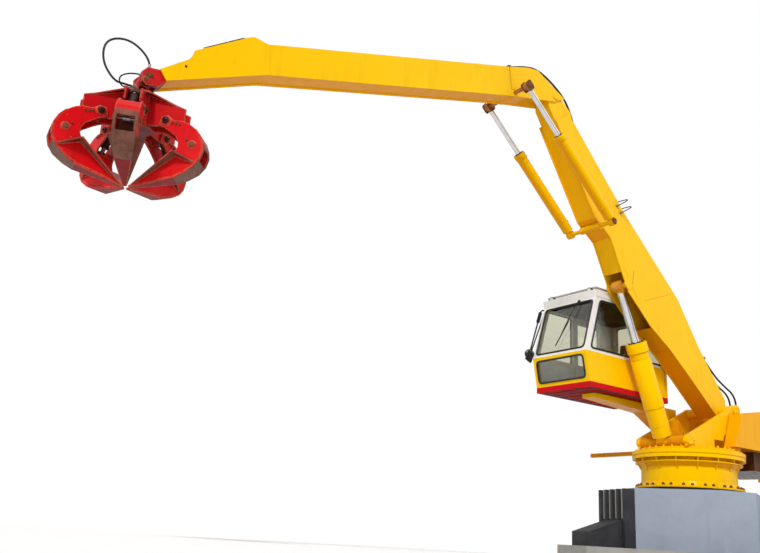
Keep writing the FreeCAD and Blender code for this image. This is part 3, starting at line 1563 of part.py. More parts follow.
def make_ram_hoses():
    """Two slim hoses that loop over the boom's back between its side plates."""
    pieces = []
    place = side_plane(x=size("boom_pivot_x"), z=size("boom_pivot_z"), pitch=SIZES["boom_angle"])
    half = size("boom_width / 2")
    for number, along in enumerate((4250, 4110)):
        shape = ((90, 24), (150, 132), (260, 142), (300, -18), (318, -half))
        route = [boom_point(str(along), str(up)) + Vector(0, half + out, 0) for up, out in shape]
        route += [boom_point(str(along), str(up)) - Vector(0, half + out, 0) for up, out in reversed(shape[:-1])]
        pieces.append(hose(f"ram_hose_{number}", route, size("slim_hose")))
        for side, sign in (("left", 1), ("right", -1)):
            middle = FreeCAD.Placement(place)
            middle.Base = middle.Base + Vector(0, sign * (half + 21.2), 0)
            pieces.append(block_on(middle, f"{side}_port_{number}", (f"{along - 20}", "60"), (f"{along + 20}", "100"), "42"))
    first = joined("ram_hose_first", *pieces[:3])
    second = joined("ram_hose_second", *pieces[3:])
    node("ram_hoses", loose_set("ram_hose_set", first, second))


def make_grapple_hoses(top):
    """The long loop and the short hose from the stick's fork to the hanging joint."""
    loop = ((-20, 125, 162.3), (-20, 125, 280), (250, 100, 462), (520, 80, 360), (520, 65, 80), (340, 48, -118))
    loop += ((190, 38, -98), (75.8, 38, -98))
    short = ((61.6, 125, 35), (150, 125, 35), (310, 90, -50), (255, 60, -160), (160, 50, -130), (75.8, 50, -130))
    pieces = [
        hose("swivel_loop", [top + Vector(*spot) for spot in loop], size("swivel_hose")),
        hose("swivel_short", [top + Vector(*spot) for spot in short], size("slim_hose")),
    ]
    node("grapple_hoses", loose_set("grapple_hose_pair", *pieces))


# ---------------------------------------------------------------- assembly
make_footing()
make_column()
node(
    "plinth_buttresses",
    loose_set(
        "buttress_pair",
        make_buttress("front", SIZES["base_yaw"] - 45),
        make_buttress("rear", SIZES["base_yaw"] + 135),
    ),
)
make_adapter()
make_collar()
make_turntable()
make_brackets()
make_deck_fittings()
make_tail()
make_cab_arm()
make_cab_shell()
make_cab_door()
make_cab_glass()
make_cab_fittings()
make_boom()
make_stick()
make_arm_rams()
hanger_top = make_hanger()
make_hub(hanger_top)
for tine in range(TINES):
    make_tine(tine, hanger_top)
    make_tine_ram(tine, hanger_top)
make_foot_hoses()
make_knuckle_hoses()
make_ram_hoses()
make_grapple_hoses(Vector(hanger_top))
doc.recompute()


# ---------------------------------------------------------------- writing
def faults():
    """Every object that failed to build, and every sub-part without a sound shape."""
    for item in doc.Objects:
        if "Invalid" in item.State or "Error" in item.State:
            yield f"{item.Name} failed: {item.State}"
    for item in NODES:
        if item.Shape.isNull() or not item.Shape.isValid() or not item.Shape.Solids:
            yield f"{item.Label} has no sound solid"


found = list(faults())
if found:
    raise SystemExit("\n".join(found))
os.makedirs("parts", exist_ok=True)
for item in NODES:
    item.Shape.exportStep(f"parts/{item.Label}.step")
    solids = item.Shape.Solids
    print(f"{item.Label}: {len(solids)} solid(s), {sum(s.Volume for s in solids) / 1e9:.4f} m3")
print(len(NODES), "sub-parts")
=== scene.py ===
"""Looks of a stationary material handler on a concrete pedestal.

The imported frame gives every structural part. This file paints each one, adds the fixings, seals,
welds, pipes and padding, and sets a plain studio around the machine. Lengths are in metres.
"""

from __future__ import annotations

import json
import logging
import math
from dataclasses import dataclass, field
from enum import Enum
from typing import Any, Mapping, Sequence

import bmesh
import bpy
from mathutils import Matrix, Vector

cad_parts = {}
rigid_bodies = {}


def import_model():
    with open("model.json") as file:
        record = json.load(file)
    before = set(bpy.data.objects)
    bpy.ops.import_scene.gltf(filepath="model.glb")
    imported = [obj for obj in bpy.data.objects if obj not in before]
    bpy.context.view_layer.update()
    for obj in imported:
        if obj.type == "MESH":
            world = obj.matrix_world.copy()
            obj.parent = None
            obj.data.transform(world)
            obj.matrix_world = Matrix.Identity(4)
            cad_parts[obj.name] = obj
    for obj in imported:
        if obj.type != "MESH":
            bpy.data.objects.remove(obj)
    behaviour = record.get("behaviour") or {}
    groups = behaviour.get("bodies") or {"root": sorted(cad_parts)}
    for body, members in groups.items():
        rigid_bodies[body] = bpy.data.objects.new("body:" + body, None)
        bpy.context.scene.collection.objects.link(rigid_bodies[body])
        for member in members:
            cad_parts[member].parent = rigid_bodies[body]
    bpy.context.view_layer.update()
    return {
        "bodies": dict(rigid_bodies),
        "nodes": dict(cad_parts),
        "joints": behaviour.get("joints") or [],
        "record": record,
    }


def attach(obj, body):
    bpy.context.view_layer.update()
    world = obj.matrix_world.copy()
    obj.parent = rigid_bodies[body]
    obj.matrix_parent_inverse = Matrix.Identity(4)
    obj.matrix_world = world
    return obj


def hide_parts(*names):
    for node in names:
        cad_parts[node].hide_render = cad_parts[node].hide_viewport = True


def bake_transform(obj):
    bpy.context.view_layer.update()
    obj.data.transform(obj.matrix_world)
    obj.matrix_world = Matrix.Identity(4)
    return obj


LOG = logging.getLogger("handler")
Tree = bpy.types.NodeTree
Socket = bpy.types.NodeSocket
Colour = tuple[float, float, float, float]

# the machine's axes, which nothing changes
AHEAD = Vector((1, 0, 0))
LEFT = Vector((0, 1, 0))
UP = Vector((0, 0, 1))


# ------------------------------------------------------------------ colour and nodes
def paint_colour(code: str) -> Colour:
    """Turns an sRGB hex code into linear colour.

    Args:
        code: Six hex digits, such as "fdc007".

    Returns:
        Linear red, green, blue and an alpha of 1.
    """
    parts = [int(code[place : place + 2], 16) / 255 for place in (0, 2, 4)]
    red, green, blue = (v / 12.92 if v <= 0.04045 else ((v + 0.055) / 1.055) ** 2.4 for v in parts)
    return (red, green, blue, 1.0)


def add(
    tree: Tree, kind: str, values: Mapping[Any, Any] | None = None, links: Mapping[Any, Socket] | None = None
) -> bpy.types.Node:
    """Adds one shader node with its settings and links.

    Args:
        tree: The node tree to add to.
        kind: Blender's name for the node.
        values: Node properties, or values of input sockets by name or number.
        links: Output sockets to join to input sockets by name or number.

    Returns:
        The new node.
    """
    node = tree.nodes.new(kind)
    for key, value in (values or {}).items():
        if isinstance(key, str) and hasattr(node, key):
            setattr(node, key, value)
        else:
            node.inputs[key].default_value = value
    for key, socket in (links or {}).items():
        tree.links.new(socket, node.inputs[key])
    return node


# ------------------------------------------------------------------ finishes
class Kind(Enum):
    """Every finish on the machine."""

    YELLOW = "chassis_enamel"
    TAIL = "tail_enamel"
    # painted shade: a dark brown copy of the tail paint for the shaded belly
    SHADED_BELLY = "belly_shade_enamel"
    # painted shade: a darker orange copy of the yellow paint
    SHADED_YELLOW = "shaded_yellow_enamel"
    RED = "cab_red_enamel"
    GRAPPLE_RED = "grapple_enamel"
    TINE = "tine_enamel"
    WHITE = "cab_white_enamel"
    GREY = "rail_grey_enamel"
    BLACK_STEEL = "black_painted_steel"
    PEDESTAL = "painted_concrete"
    # painted shade: near-black buttresses for the pedestal's shadow side
    SHADED_PEDESTAL = "shaded_buttress_concrete"
    FOOTING = "cast_concrete"
    CHROME = "hard_chrome"
    ARM_CHROME = "hard_chrome_slim"
    ZINC = "weathered_zinc"
    RUST = "rusted_fixings"
    RUBBER = "hose_rubber"
    SEAL = "epdm_seal"
    GLASS = "toughened_glass"
    MIRROR = "silvered_glass"
    LAMP = "lamp_lens"
    CLOTH = "seat_cloth"
    MOULDED = "moulded_abs"
    LINING = "cab_lining"
    HEADLINER = "headliner_felt"
    PALE_LINING = "footwell_lining"
    RAM_DARK = "grapple_ram_enamel"


@dataclass(frozen=True)
class WornZone:
    """Where scrap has rubbed the paint off: outward faces round an upright axis, below a level."""

    axis_x: float
    level: float
    colour: str
    streak: str


@dataclass(frozen=True)
class Enamel:
    """Sprayed alkyd enamel on welded steel: even colour, a soft gloss, chalky fading and chipped edges."""

    name: str
    colour: str
    faded: str
    worn: str
    grime: str = "4a3a26"
    rough: float = 0.36
    coat: float = 0.04
    edge_mm: float = 6.0
    wear: float = 0.35
    dirt: float = 0.25
    metal: float = 0.0
    # painted shade: the darker colour given to down-facing plates
    underside_shade: str = ""
    zone: WornZone | None = None

    def rubbed(self, tree: Tree, coords: Socket, normal: Socket, colour: Socket) -> Socket:
        """Lays the rubbed zone over the paint.

        Args:
            tree: The finish's node tree.
            coords: Places on the part.
            normal: The part's own normals.
            colour: The paint's colour so far.

        Returns:
            The colour with bare brown metal in the zone.
        """
        assert self.zone
        moved = add(
            tree, "ShaderNodeVectorMath", {"operation": "SUBTRACT", 1: (self.zone.axis_x, 0, 0)},
            {0: coords},
        )
        flat = add(
            tree, "ShaderNodeVectorMath", {"operation": "MULTIPLY", 1: (1, 1, 0)}, {0: moved.outputs[0]}
        )
        outward = add(tree, "ShaderNodeVectorMath", {"operation": "NORMALIZE"}, {0: flat.outputs[0]})
        facing = add(
            tree, "ShaderNodeVectorMath", {"operation": "DOT_PRODUCT"}, {0: outward.outputs[0], 1: normal}
        )
        side = add(
            tree, "ShaderNodeMapRange", {"From Min": 0.28, "From Max": 0.4},
            {"Value": facing.outputs["Value"]},
        )
        height = add(tree, "ShaderNodeSeparateXYZ", {}, {0: coords})
        low = add(
            tree, "ShaderNodeMapRange", {
                "From Min": self.zone.level + 0.05, "From Max": self.zone.level - 0.02
            },
            {"Value": height.outputs[2]},
        )
        mask = add(
            tree, "ShaderNodeMath", {"operation": "MULTIPLY"}, {0: side.outputs[0], 1: low.outputs[0]}
        )
        # rub marks run 40 mm wide down the plate
        marks = add(
            tree, "ShaderNodeTexNoise", {"Scale": 9.0, "Detail": 8.0, "Roughness": 0.7, "Distortion": 0.6},
            {"Vector": coords},
        )
        part = add(
            tree, "ShaderNodeMapRange", {"From Min": 0.4, "From Max": 0.65}, {"Value": marks.outputs[0]}
        )
        brown = add(
            tree, "ShaderNodeMix",
            {
                "data_type": "RGBA", 6: paint_colour(self.zone.colour), 7: paint_colour(self.zone.streak)
            }, {0: part.outputs[0]},
        )
        return add(
            tree, "ShaderNodeMix", {"data_type": "RGBA"}, {
                0: mask.outputs[0], 6: colour, 7: brown.outputs[2]
            }
        ).outputs[2]

    def make(self) -> bpy.types.Material:
        """Builds the shader: fade, run-down grime, worn edges, chips and orange peel.

        Returns:
            The finished material.
        """
        material = bpy.data.materials.new(self.name)
        material.use_nodes = True
        tree = material.node_tree
        shader = tree.nodes["Principled BSDF"]
        place = add(tree, "ShaderNodeTexCoord")
        coords, normal = place.outputs["Object"], place.outputs["Normal"]
        # patches of sun fading are about 1.2 m across on a boom
        fade = add(
            tree, "ShaderNodeTexNoise", {"Scale": 0.8, "Detail": 5.0, "Roughness": 0.6}, {"Vector": coords}
        )
        fade_part = add(
            tree, "ShaderNodeMapRange", {
                "From Min": 0.42, "From Max": 0.68, "To Max": 0.75
            }, {"Value": fade.outputs[0]}
        )
        base = add(
            tree, "ShaderNodeMix", {
                "data_type": "RGBA", 6: paint_colour(self.colour), 7: paint_colour(self.faded)
            },
            {0: fade_part.outputs[0]},
        )
        ground = base.outputs[2]
        if self.underside_shade:
            # painted shade: down-facing plates take a darker colour that stands in for the shade that falls
            # under them
            facing = add(tree, "ShaderNodeSeparateXYZ", {}, {0: normal})
            down = add(
                tree, "ShaderNodeMapRange", {
                    "From Min": -0.25, "From Max": -0.75, "To Max": 0.9
                }, {"Value": facing.outputs[2]}
            )
            ground = add(
                tree, "ShaderNodeMix", {"data_type": "RGBA", 7: paint_colour(self.underside_shade)},
                {0: down.outputs[0], 6: ground},
            ).outputs[2]
        # run-down streaks 60 mm apart and six times as long
        stretch = add(tree, "ShaderNodeMapping", {"Scale": (9.0, 9.0, 1.3)}, {"Vector": coords})
        streak = add(
            tree, "ShaderNodeTexNoise", {"Scale": 1.0, "Detail": 6.0, "Roughness": 0.65},
            {"Vector": stretch.outputs[0]},
        )
        streak_part = add(
            tree, "ShaderNodeMapRange", {
                "From Min": 0.52, "From Max": 0.8, "To Max": self.dirt
            }, {"Value": streak.outputs[0]}
        )
        dirty = add(
            tree, "ShaderNodeMix", {"data_type": "RGBA", 7: paint_colour(self.grime)},
            {0: streak_part.outputs[0], 6: ground},
        )
        # paint leaves the arrises first: the rounded normal differs from the flat one only there
        bevel = add(tree, "ShaderNodeBevel", {"samples": 4, "Radius": self.edge_mm / 1000})
        flat = add(tree, "ShaderNodeNewGeometry").outputs["Normal"]
        likeness = add(
            tree, "ShaderNodeVectorMath", {"operation": "DOT_PRODUCT"}, {0: bevel.outputs[0], 1: flat}
        )
        edge = add(
            tree, "ShaderNodeMapRange", {"From Min": 0.995, "From Max": 0.88}, {
                "Value": likeness.outputs["Value"]
            }
        )
        # chips and rubs are 20 to 60 mm long
        chips = add(
            tree, "ShaderNodeTexNoise", {"Scale": 22.0, "Detail": 7.0, "Roughness": 0.7}, {"Vector": coords}
        )
        rub = add(
            tree, "ShaderNodeMapRange", {
                "From Min": 0.62 - 0.25 * self.wear, "From Max": 0.70 - 0.2 * self.wear
            },
            {"Value": chips.outputs[0]},
        )
        worn_edge = add(
            tree, "ShaderNodeMath", {"operation": "MULTIPLY"}, {0: edge.outputs[0], 1: rub.outputs[0]}
        )
        spot = add(
            tree, "ShaderNodeMapRange", {
                "From Min": 0.76 - 0.08 * self.wear, "From Max": 0.80 - 0.08 * self.wear
            },
            {"Value": chips.outputs[0]},
        )
        bare = add(
            tree, "ShaderNodeMath", {"operation": "MAXIMUM"}, {0: worn_edge.outputs[0], 1: spot.outputs[0]}
        )
        coloured = add(
            tree, "ShaderNodeMix", {"data_type": "RGBA", 7: paint_colour(self.worn)},
            {0: bare.outputs[0], 6: dirty.outputs[2]},
        )
        final = coloured.outputs[2]
        if self.zone:
            final = self.rubbed(tree, coords, normal, final)
        tree.links.new(final, shader.inputs["Base Color"])
        gloss = add(
            tree, "ShaderNodeMapRange",
            {"From Min": 0.35, "From Max": 0.75, "To Min": self.rough - 0.07, "To Max": self.rough + 0.16},
            {"Value": streak.outputs[0]},
        )
        tree.links.new(gloss.outputs[0], shader.inputs["Roughness"])
        # sprayed orange peel is 2 mm across; drawn at 14 mm so that it shows
        peel = add(tree, "ShaderNodeTexNoise", {"Scale": 70.0, "Detail": 2.0}, {"Vector": coords})
        bump = add(
            tree, "ShaderNodeBump", {"Strength": 0.06, "Distance": 0.002}, {
                "Height": peel.outputs[0], "Normal": bevel.outputs[0]
            }
        )
        tree.links.new(bump.outputs[0], shader.inputs["Normal"])
        # pigment at the surface colours the sheen as well
        shader.inputs["Specular IOR Level"].default_value = 0.3
        shader.inputs["Specular Tint"].default_value = paint_colour(self.colour)
        shader.inputs["Coat Weight"].default_value = self.coat
        shader.inputs["Coat Roughness"].default_value = 0.18
        shader.inputs["Metallic"].default_value = self.metal
        return material


@dataclass(frozen=True)
class Masonry:
    """Cast concrete with a masonry paint or none: dull, mottled, with fine pores and water marks."""

    name: str
    colour: str
    stain: str
    rough: float = 0.85
    mottle: float = 0.6

    def make(self) -> bpy.types.Material:
        """Builds the shader: broad mottle, dark water marks down the faces and pores.

        Returns:
            The finished material.
        """
        material = bpy.data.materials.new(self.name)
        material.use_nodes = True
        tree = material.node_tree
        shader = tree.nodes["Principled BSDF"]
        coords = add(tree, "ShaderNodeTexCoord").outputs["Object"]
        mottle = add(
            tree, "ShaderNodeTexNoise", {"Scale": 3.0, "Detail": 8.0, "Roughness": 0.65}, {"Vector": coords}
        )
        part = add(
            tree, "ShaderNodeMapRange", {
                "From Min": 0.4, "From Max": 0.75, "To Max": self.mottle
            }, {"Value": mottle.outputs[0]}
        )
        drop = add(tree, "ShaderNodeMapping", {"Scale": (12.0, 12.0, 0.9)}, {"Vector": coords})
        mark = add(tree, "ShaderNodeTexNoise", {"Scale": 1.0, "Detail": 5.0}, {"Vector": drop.outputs[0]})
        mark_part = add(
            tree, "ShaderNodeMapRange", {"From Min": 0.55, "From Max": 0.8, "To Max": 0.5},
            {"Value": mark.outputs[0]},
        )
        both = add(
            tree, "ShaderNodeMath", {"operation": "MAXIMUM"}, {0: part.outputs[0], 1: mark_part.outputs[0]}
        )
        mixed = add(
            tree, "ShaderNodeMix", {
                "data_type": "RGBA", 6: paint_colour(self.colour), 7: paint_colour(self.stain)
            },
            {0: both.outputs[0]},
        )
        tree.links.new(mixed.outputs[2], shader.inputs["Base Color"])
        # pores of 3 to 8 mm
        pores = add(tree, "ShaderNodeTexVoronoi", {"Scale": 120.0}, {"Vector": coords})
        pit = add(
            tree, "ShaderNodeMapRange", {"From Min": 0.0, "From Max": 0.25},
            {"Value": pores.outputs["Distance"]},
        )
        bump = add(
            tree, "ShaderNodeBump", {"Strength": 0.25, "Distance": 0.003}, {"Height": pit.outputs[0]}
        )
        tree.links.new(bump.outputs[0], shader.inputs["Normal"])
        shader.inputs["Roughness"].default_value = self.rough
        return material


@dataclass(frozen=True)
class PaintedEnd:
    """The painted eye of a rod: within a radius of a line that runs across the machine."""

    x: float
    z: float
    radius: float
    colour: str
    shade: str


@dataclass(frozen=True)
class BareMetal:
    """Metal left bare or plated: chromed rods, zinc fittings and rusted nuts."""

    name: str
    colour: str
    tint: str
    rough: float
    metal: float = 1.0
    grain: float = 40.0
    spread: float = 0.12
    end: PaintedEnd | None = None

    def make(self) -> bpy.types.Material:
        """Builds the shader: a metal whose tint and roughness drift with handling and weather.

        Returns:
            The finished material.
        """
        material = bpy.data.materials.new(self.name)
        material.use_nodes = True
        tree = material.node_tree
        shader = tree.nodes["Principled BSDF"]
        coords = add(tree, "ShaderNodeTexCoord").outputs["Object"]
        drift = add(
            tree, "ShaderNodeTexNoise", {"Scale": self.grain, "Detail": 6.0, "Roughness": 0.65},
            {"Vector": coords},
        )
        part = add(
            tree, "ShaderNodeMapRange", {"From Min": 0.4, "From Max": 0.7}, {"Value": drift.outputs[0]}
        )
        mixed = add(
            tree, "ShaderNodeMix", {
                "data_type": "RGBA", 6: paint_colour(self.colour), 7: paint_colour(self.tint)
            },
            {0: part.outputs[0]},
        )
        tree.links.new(mixed.outputs[2], shader.inputs["Base Color"])
        gloss = add(
            tree, "ShaderNodeMapRange", {
                "To Min": self.rough, "To Max": self.rough + self.spread
            }, {"Value": part.outputs[0]}
        )
        tree.links.new(gloss.outputs[0], shader.inputs["Roughness"])
        bump = add(
            tree, "ShaderNodeBump", {"Strength": 0.08, "Distance": 0.001}, {"Height": drift.outputs[0]}
        )
        tree.links.new(bump.outputs[0], shader.inputs["Normal"])
        shader.inputs["Metallic"].default_value = self.metal
        if self.end:
            self.paint_end(tree, coords, part.outputs[0], mixed.outputs[2], gloss.outputs[0])
        return material

    def paint_end(self, tree: Tree, coords: Socket, mottle: Socket, colour: Socket, rough: Socket) -> None:
        """Paints the rod's eye over the plating.

        Args:
            tree: The finish's node tree.
            coords: Places on the rod.
            mottle: The finish's own mottle.
            colour: The plating's colour.
            rough: The plating's roughness.
        """
        assert self.end
        shader = tree.nodes["Principled BSDF"]
        moved = add(
            tree, "ShaderNodeVectorMath", {"operation": "SUBTRACT", 1: (self.end.x, 0, self.end.z)},
            {0: coords},
        )
        flat = add(
            tree, "ShaderNodeVectorMath", {"operation": "MULTIPLY", 1: (1, 0, 1)}, {0: moved.outputs[0]}
        )
        away = add(tree, "ShaderNodeVectorMath", {"operation": "LENGTH"}, {0: flat.outputs[0]})
        bare = add(
            tree, "ShaderNodeMapRange", {"From Min": self.end.radius, "From Max": self.end.radius + 0.004},
            {"Value": away.outputs["Value"]},
        )
        paint = add(
            tree, "ShaderNodeMix",
            {
                "data_type": "RGBA", 6: paint_colour(self.end.colour), 7: paint_colour(self.end.shade)
            }, {0: mottle},
        )
        shown = add(
            tree, "ShaderNodeMix", {"data_type": "RGBA"},
            {0: bare.outputs[0], 6: paint.outputs[2], 7: colour},
        )
        dull = add(tree, "ShaderNodeMix", {"data_type": "FLOAT", 2: 0.5}, {0: bare.outputs[0], 3: rough})
        tree.links.new(shown.outputs[2], shader.inputs["Base Color"])
        tree.links.new(dull.outputs[0], shader.inputs["Roughness"])
        tree.links.new(bare.outputs[0], shader.inputs["Metallic"])


@dataclass(frozen=True)
class Elastomer:
    """Rubber and moulded plastics: dark, dull, with dust in the hollows and a fine moulded grain."""

    name: str
    colour: str
    dust: str
    rough: float = 0.6
    grain_mm: float = 3.0
    weave: bool = False

    def make(self) -> bpy.types.Material:
        """Builds the shader: dusty mottle over a moulded or woven grain.

        Returns:
            The finished material.
        """
        material = bpy.data.materials.new(self.name)
        material.use_nodes = True
        tree = material.node_tree
        shader = tree.nodes["Principled BSDF"]
        coords = add(tree, "ShaderNodeTexCoord").outputs["Object"]
        dust = add(
            tree, "ShaderNodeTexNoise", {"Scale": 6.0, "Detail": 8.0, "Roughness": 0.7}, {"Vector": coords}
        )
        part = add(
            tree, "ShaderNodeMapRange", {"From Min": 0.45, "From Max": 0.8, "To Max": 0.6},
            {"Value": dust.outputs[0]},
        )
        mixed = add(
            tree, "ShaderNodeMix", {
                "data_type": "RGBA", 6: paint_colour(self.colour), 7: paint_colour(self.dust)
            },
            {0: part.outputs[0]},
        )
        tree.links.new(mixed.outputs[2], shader.inputs["Base Color"])
        if self.weave:
            across = add(
                tree, "ShaderNodeTexWave", {
                    "Scale": 1000 / self.grain_mm / 6.28, "bands_direction": "Y"
                }, {"Vector": coords}
            )
            along = add(
                tree, "ShaderNodeTexWave", {
                    "Scale": 1000 / self.grain_mm / 6.28, "bands_direction": "DIAGONAL"
                }, {"Vector": coords}
            )
            height = add(
                tree, "ShaderNodeMath", {"operation": "MULTIPLY"},
                {0: across.outputs[1], 1: along.outputs[1]},
            ).outputs[0]
        else:
            height = add(
                tree, "ShaderNodeTexNoise", {"Scale": 1000 / self.grain_mm, "Detail": 3.0},
                {"Vector": coords},
            ).outputs[0]
        bump = add(tree, "ShaderNodeBump", {"Strength": 0.25, "Distance": 0.001}, {"Height": height})
        tree.links.new(bump.outputs[0], shader.inputs["Normal"])
        shader.inputs["Roughness"].default_value = self.rough
        return material


@dataclass(frozen=True)
class Pane:
    """Toughened float glass: clear with a faint olive tint, and a film of dust that dulls the reflections."""

    name: str
    colour: str
    alpha: float
    rough: float = 0.03
    metal: float = 0.0
    clear: float = 0.0

    def make(self) -> bpy.types.Material:
        """Builds the shader: a tinted see-through sheet with a dusty gloss.

        Returns:
            The finished material.
        """
        material = bpy.data.materials.new(self.name)
        material.use_nodes = True
        tree = material.node_tree
        shader = tree.nodes["Principled BSDF"]
        coords = add(tree, "ShaderNodeTexCoord").outputs["Object"]
        film = add(
            tree, "ShaderNodeTexNoise", {"Scale": 2.5, "Detail": 7.0, "Roughness": 0.7}, {"Vector": coords}
        )
        dust = add(
            tree, "ShaderNodeMapRange",
            {"From Min": 0.4, "From Max": 0.75, "To Min": self.rough, "To Max": self.rough + 0.04},
            {"Value": film.outputs[0]},
        )
        tree.links.new(dust.outputs[0], shader.inputs["Roughness"])
        shader.inputs["Alpha"].default_value = self.alpha
        shader.inputs["Transmission Weight"].default_value = self.clear
        shader.inputs["Base Color"].default_value = paint_colour(self.colour)
        shader.inputs["Metallic"].default_value = self.metal
        if not self.metal:
            shader.inputs["IOR"].default_value = 1.52
        return material


class Palette:
    """Builds each finish once and hands it out by kind."""

    # in each enamel, the darker colour for down-facing plates is painted shade
    RECIPES: Mapping[Kind, Any] = {
        Kind.YELLOW: Enamel(
            "chassis_enamel", "ffc600", "ffcc08", "7a4a1c", dirt=0.14, wear=0.30, edge_mm=5,
            underside_shade="e59404",
        ),
        Kind.TAIL: Enamel(
            "tail_enamel", "f2aa02", "f6b208", "7a4a1c", dirt=0.2, wear=0.30, edge_mm=5, underside_shade="c47a04"
        ),
        # painted shade: a darker orange copy of the yellow paint, for parts that sit in shade
        Kind.SHADED_YELLOW: Enamel("shaded_yellow_enamel", "e89a08", "d8880a", "6a3c18", dirt=0.4),
        # painted shade: dark brown stands in for the shade on the tail's underside
        Kind.SHADED_BELLY: Enamel("belly_shade_enamel", "4c2c10", "5a3614", "2c1c10", dirt=0.5),
        Kind.RED: Enamel(
            "cab_red_enamel", "d01018", "c41820", "5a2a1c", dirt=0.3, underside_shade="4a080e", rough=0.6,
            coat=0.0,
        ),
        Kind.GRAPPLE_RED: Enamel(
            "grapple_enamel", "c81018", "cc2c2a", "cc8464", grime="3a1612", wear=0.95, dirt=0.5,
            edge_mm=20, rough=0.42,
            underside_shade="4c1014",
        ),
        Kind.TINE: Enamel(
            "tine_enamel", "da1018", "dc2c2c", "d08a68", grime="4a1c16", wear=1.0, dirt=0.45,
            edge_mm=22, rough=0.45,
            underside_shade="6e1416", zone=WornZone(10.431, 4.35, "80584c", "5e4236"),
        ),
        Kind.WHITE: Enamel(
            "cab_white_enamel", "f0ece6", "f5f2ec", "8a6a50", grime="8a7a60", dirt=0.2, wear=0.25, edge_mm=4
        ),
        Kind.GREY: Enamel("rail_grey_enamel", "b9b4ac", "a8a29a", "6a4a34", dirt=0.3, edge_mm=4),
        Kind.BLACK_STEEL: Enamel("black_painted_steel", "262523", "34322e", "6a4a34", dirt=0.3, edge_mm=4),
        Kind.RAM_DARK: Enamel("grapple_ram_enamel", "3a2420", "4c302a", "8a6a58", dirt=0.4, edge_mm=4),
        Kind.PEDESTAL: Masonry("painted_concrete", "a0a9b9", "8a93a3"),
        # painted shade: the buttresses are painted near black for the shade on the pedestal's shadow side
        Kind.SHADED_PEDESTAL: Masonry("shaded_buttress_concrete", "222225", "45464b", rough=0.7),
        Kind.FOOTING: Masonry("cast_concrete", "a19e98", "7f7b74"),
        Kind.CHROME: BareMetal(
            "hard_chrome", "e6e6e8", "d2d0ce", 0.10, grain=8.0, spread=0.08, end=PaintedEnd(
                1.7296, 4.5930, 0.13, "e09a18", "b06a1c"
            )
        ),
        Kind.ARM_CHROME: BareMetal(
            "hard_chrome_slim", "e6e6e8", "d2d0ce", 0.10, grain=8.0, spread=0.08, end=PaintedEnd(
                4.4600, 7.2664, 0.09, "b8722c", "8a4c22"
            )
        ),
        Kind.ZINC: BareMetal("weathered_zinc", "9a9a98", "7a7671", 0.38),
        Kind.RUST: BareMetal("rusted_fixings", "6e3d20", "8a5a34", 0.7, metal=0.2, spread=0.2),
        Kind.RUBBER: Elastomer("hose_rubber", "1b1b1c", "45403a"),
        Kind.SEAL: Elastomer("epdm_seal", "121213", "2a2826", rough=0.5),
        Kind.GLASS: Pane("toughened_glass", "eeeedf", 1.0, clear=1.0),
        Kind.MIRROR: Pane("silvered_glass", "c9cdd0", 1.0, rough=0.04, metal=1.0),
        Kind.LAMP: Pane("lamp_lens", "f2efe4", 0.85, rough=0.12),
        Kind.CLOTH: Elastomer("seat_cloth", "23252b", "34363c", rough=0.9, grain_mm=6.0, weave=True),
        Kind.MOULDED: Elastomer("moulded_abs", "2a2a2c", "44413c", rough=0.45),
        Kind.LINING: Elastomer("cab_lining", "b9b08e", "988f70", rough=0.75),
        Kind.HEADLINER: Elastomer("headliner_felt", "3c3828", "2e2a20", rough=0.95, grain_mm=8.0),
        Kind.PALE_LINING: Elastomer("footwell_lining", "e4eaf0", "b8c0c8", rough=0.6),
    }

    def __init__(self) -> None:
        """Starts with nothing built."""
        self._made: dict[Kind, bpy.types.Material] = {}

    def get(self, kind: Kind) -> bpy.types.Material:
        """Returns the finish, building it on first use.

        Args:
            kind: Which finish.

        Returns:
            The finish's material.
        """
        if kind not in self._made:
            self._made[kind] = self.RECIPES[kind].make()
        return self._made[kind]

    def dress(self, node: bpy.types.Object, kind: Kind) -> None:
        """Puts a finish on every slot of a structural part.

        Args:
            node: The structural part.
            kind: Which finish.
        """
        for place in node.material_slots:
            place.material = self.get(kind)


# ------------------------------------------------------------------ mesh stock
@dataclass(frozen=True)
class Axes:
    """A local frame in the machine: where it starts, and which way it runs."""

    origin: Vector
    along: Vector
    across: Vector

    @property
    def out(self) -> Vector:
        """The direction square to both axes."""
        return self.along.cross(self.across)

    def at(self, x: float, y: float, z: float = 0.0) -> Vector:
        """Returns a local point in the machine's frame.

        Args:
            x: Distance along.
            y: Distance up, in the plane.
            z: Distance across.

        Returns:
            The point.
        """
        return self.origin + self.along * x + self.across * y + self.out * z


def upright_axes(x: float, z: float, pitch: float) -> Axes:
    """Lays axes in the machine's middle plane, with the out direction to its right.

    Args:
        x: Where the origin lies ahead of the slewing axis.
        z: Its height.
        pitch: Slope of the along direction, in degrees.

    Returns:
        The axes.
    """
    turn = math.radians(pitch)
    return Axes(
        Vector((x, 0, z)), Vector((math.cos(turn), 0, math.sin(turn))),
        Vector((-math.sin(turn), 0, math.cos(turn))),
    )


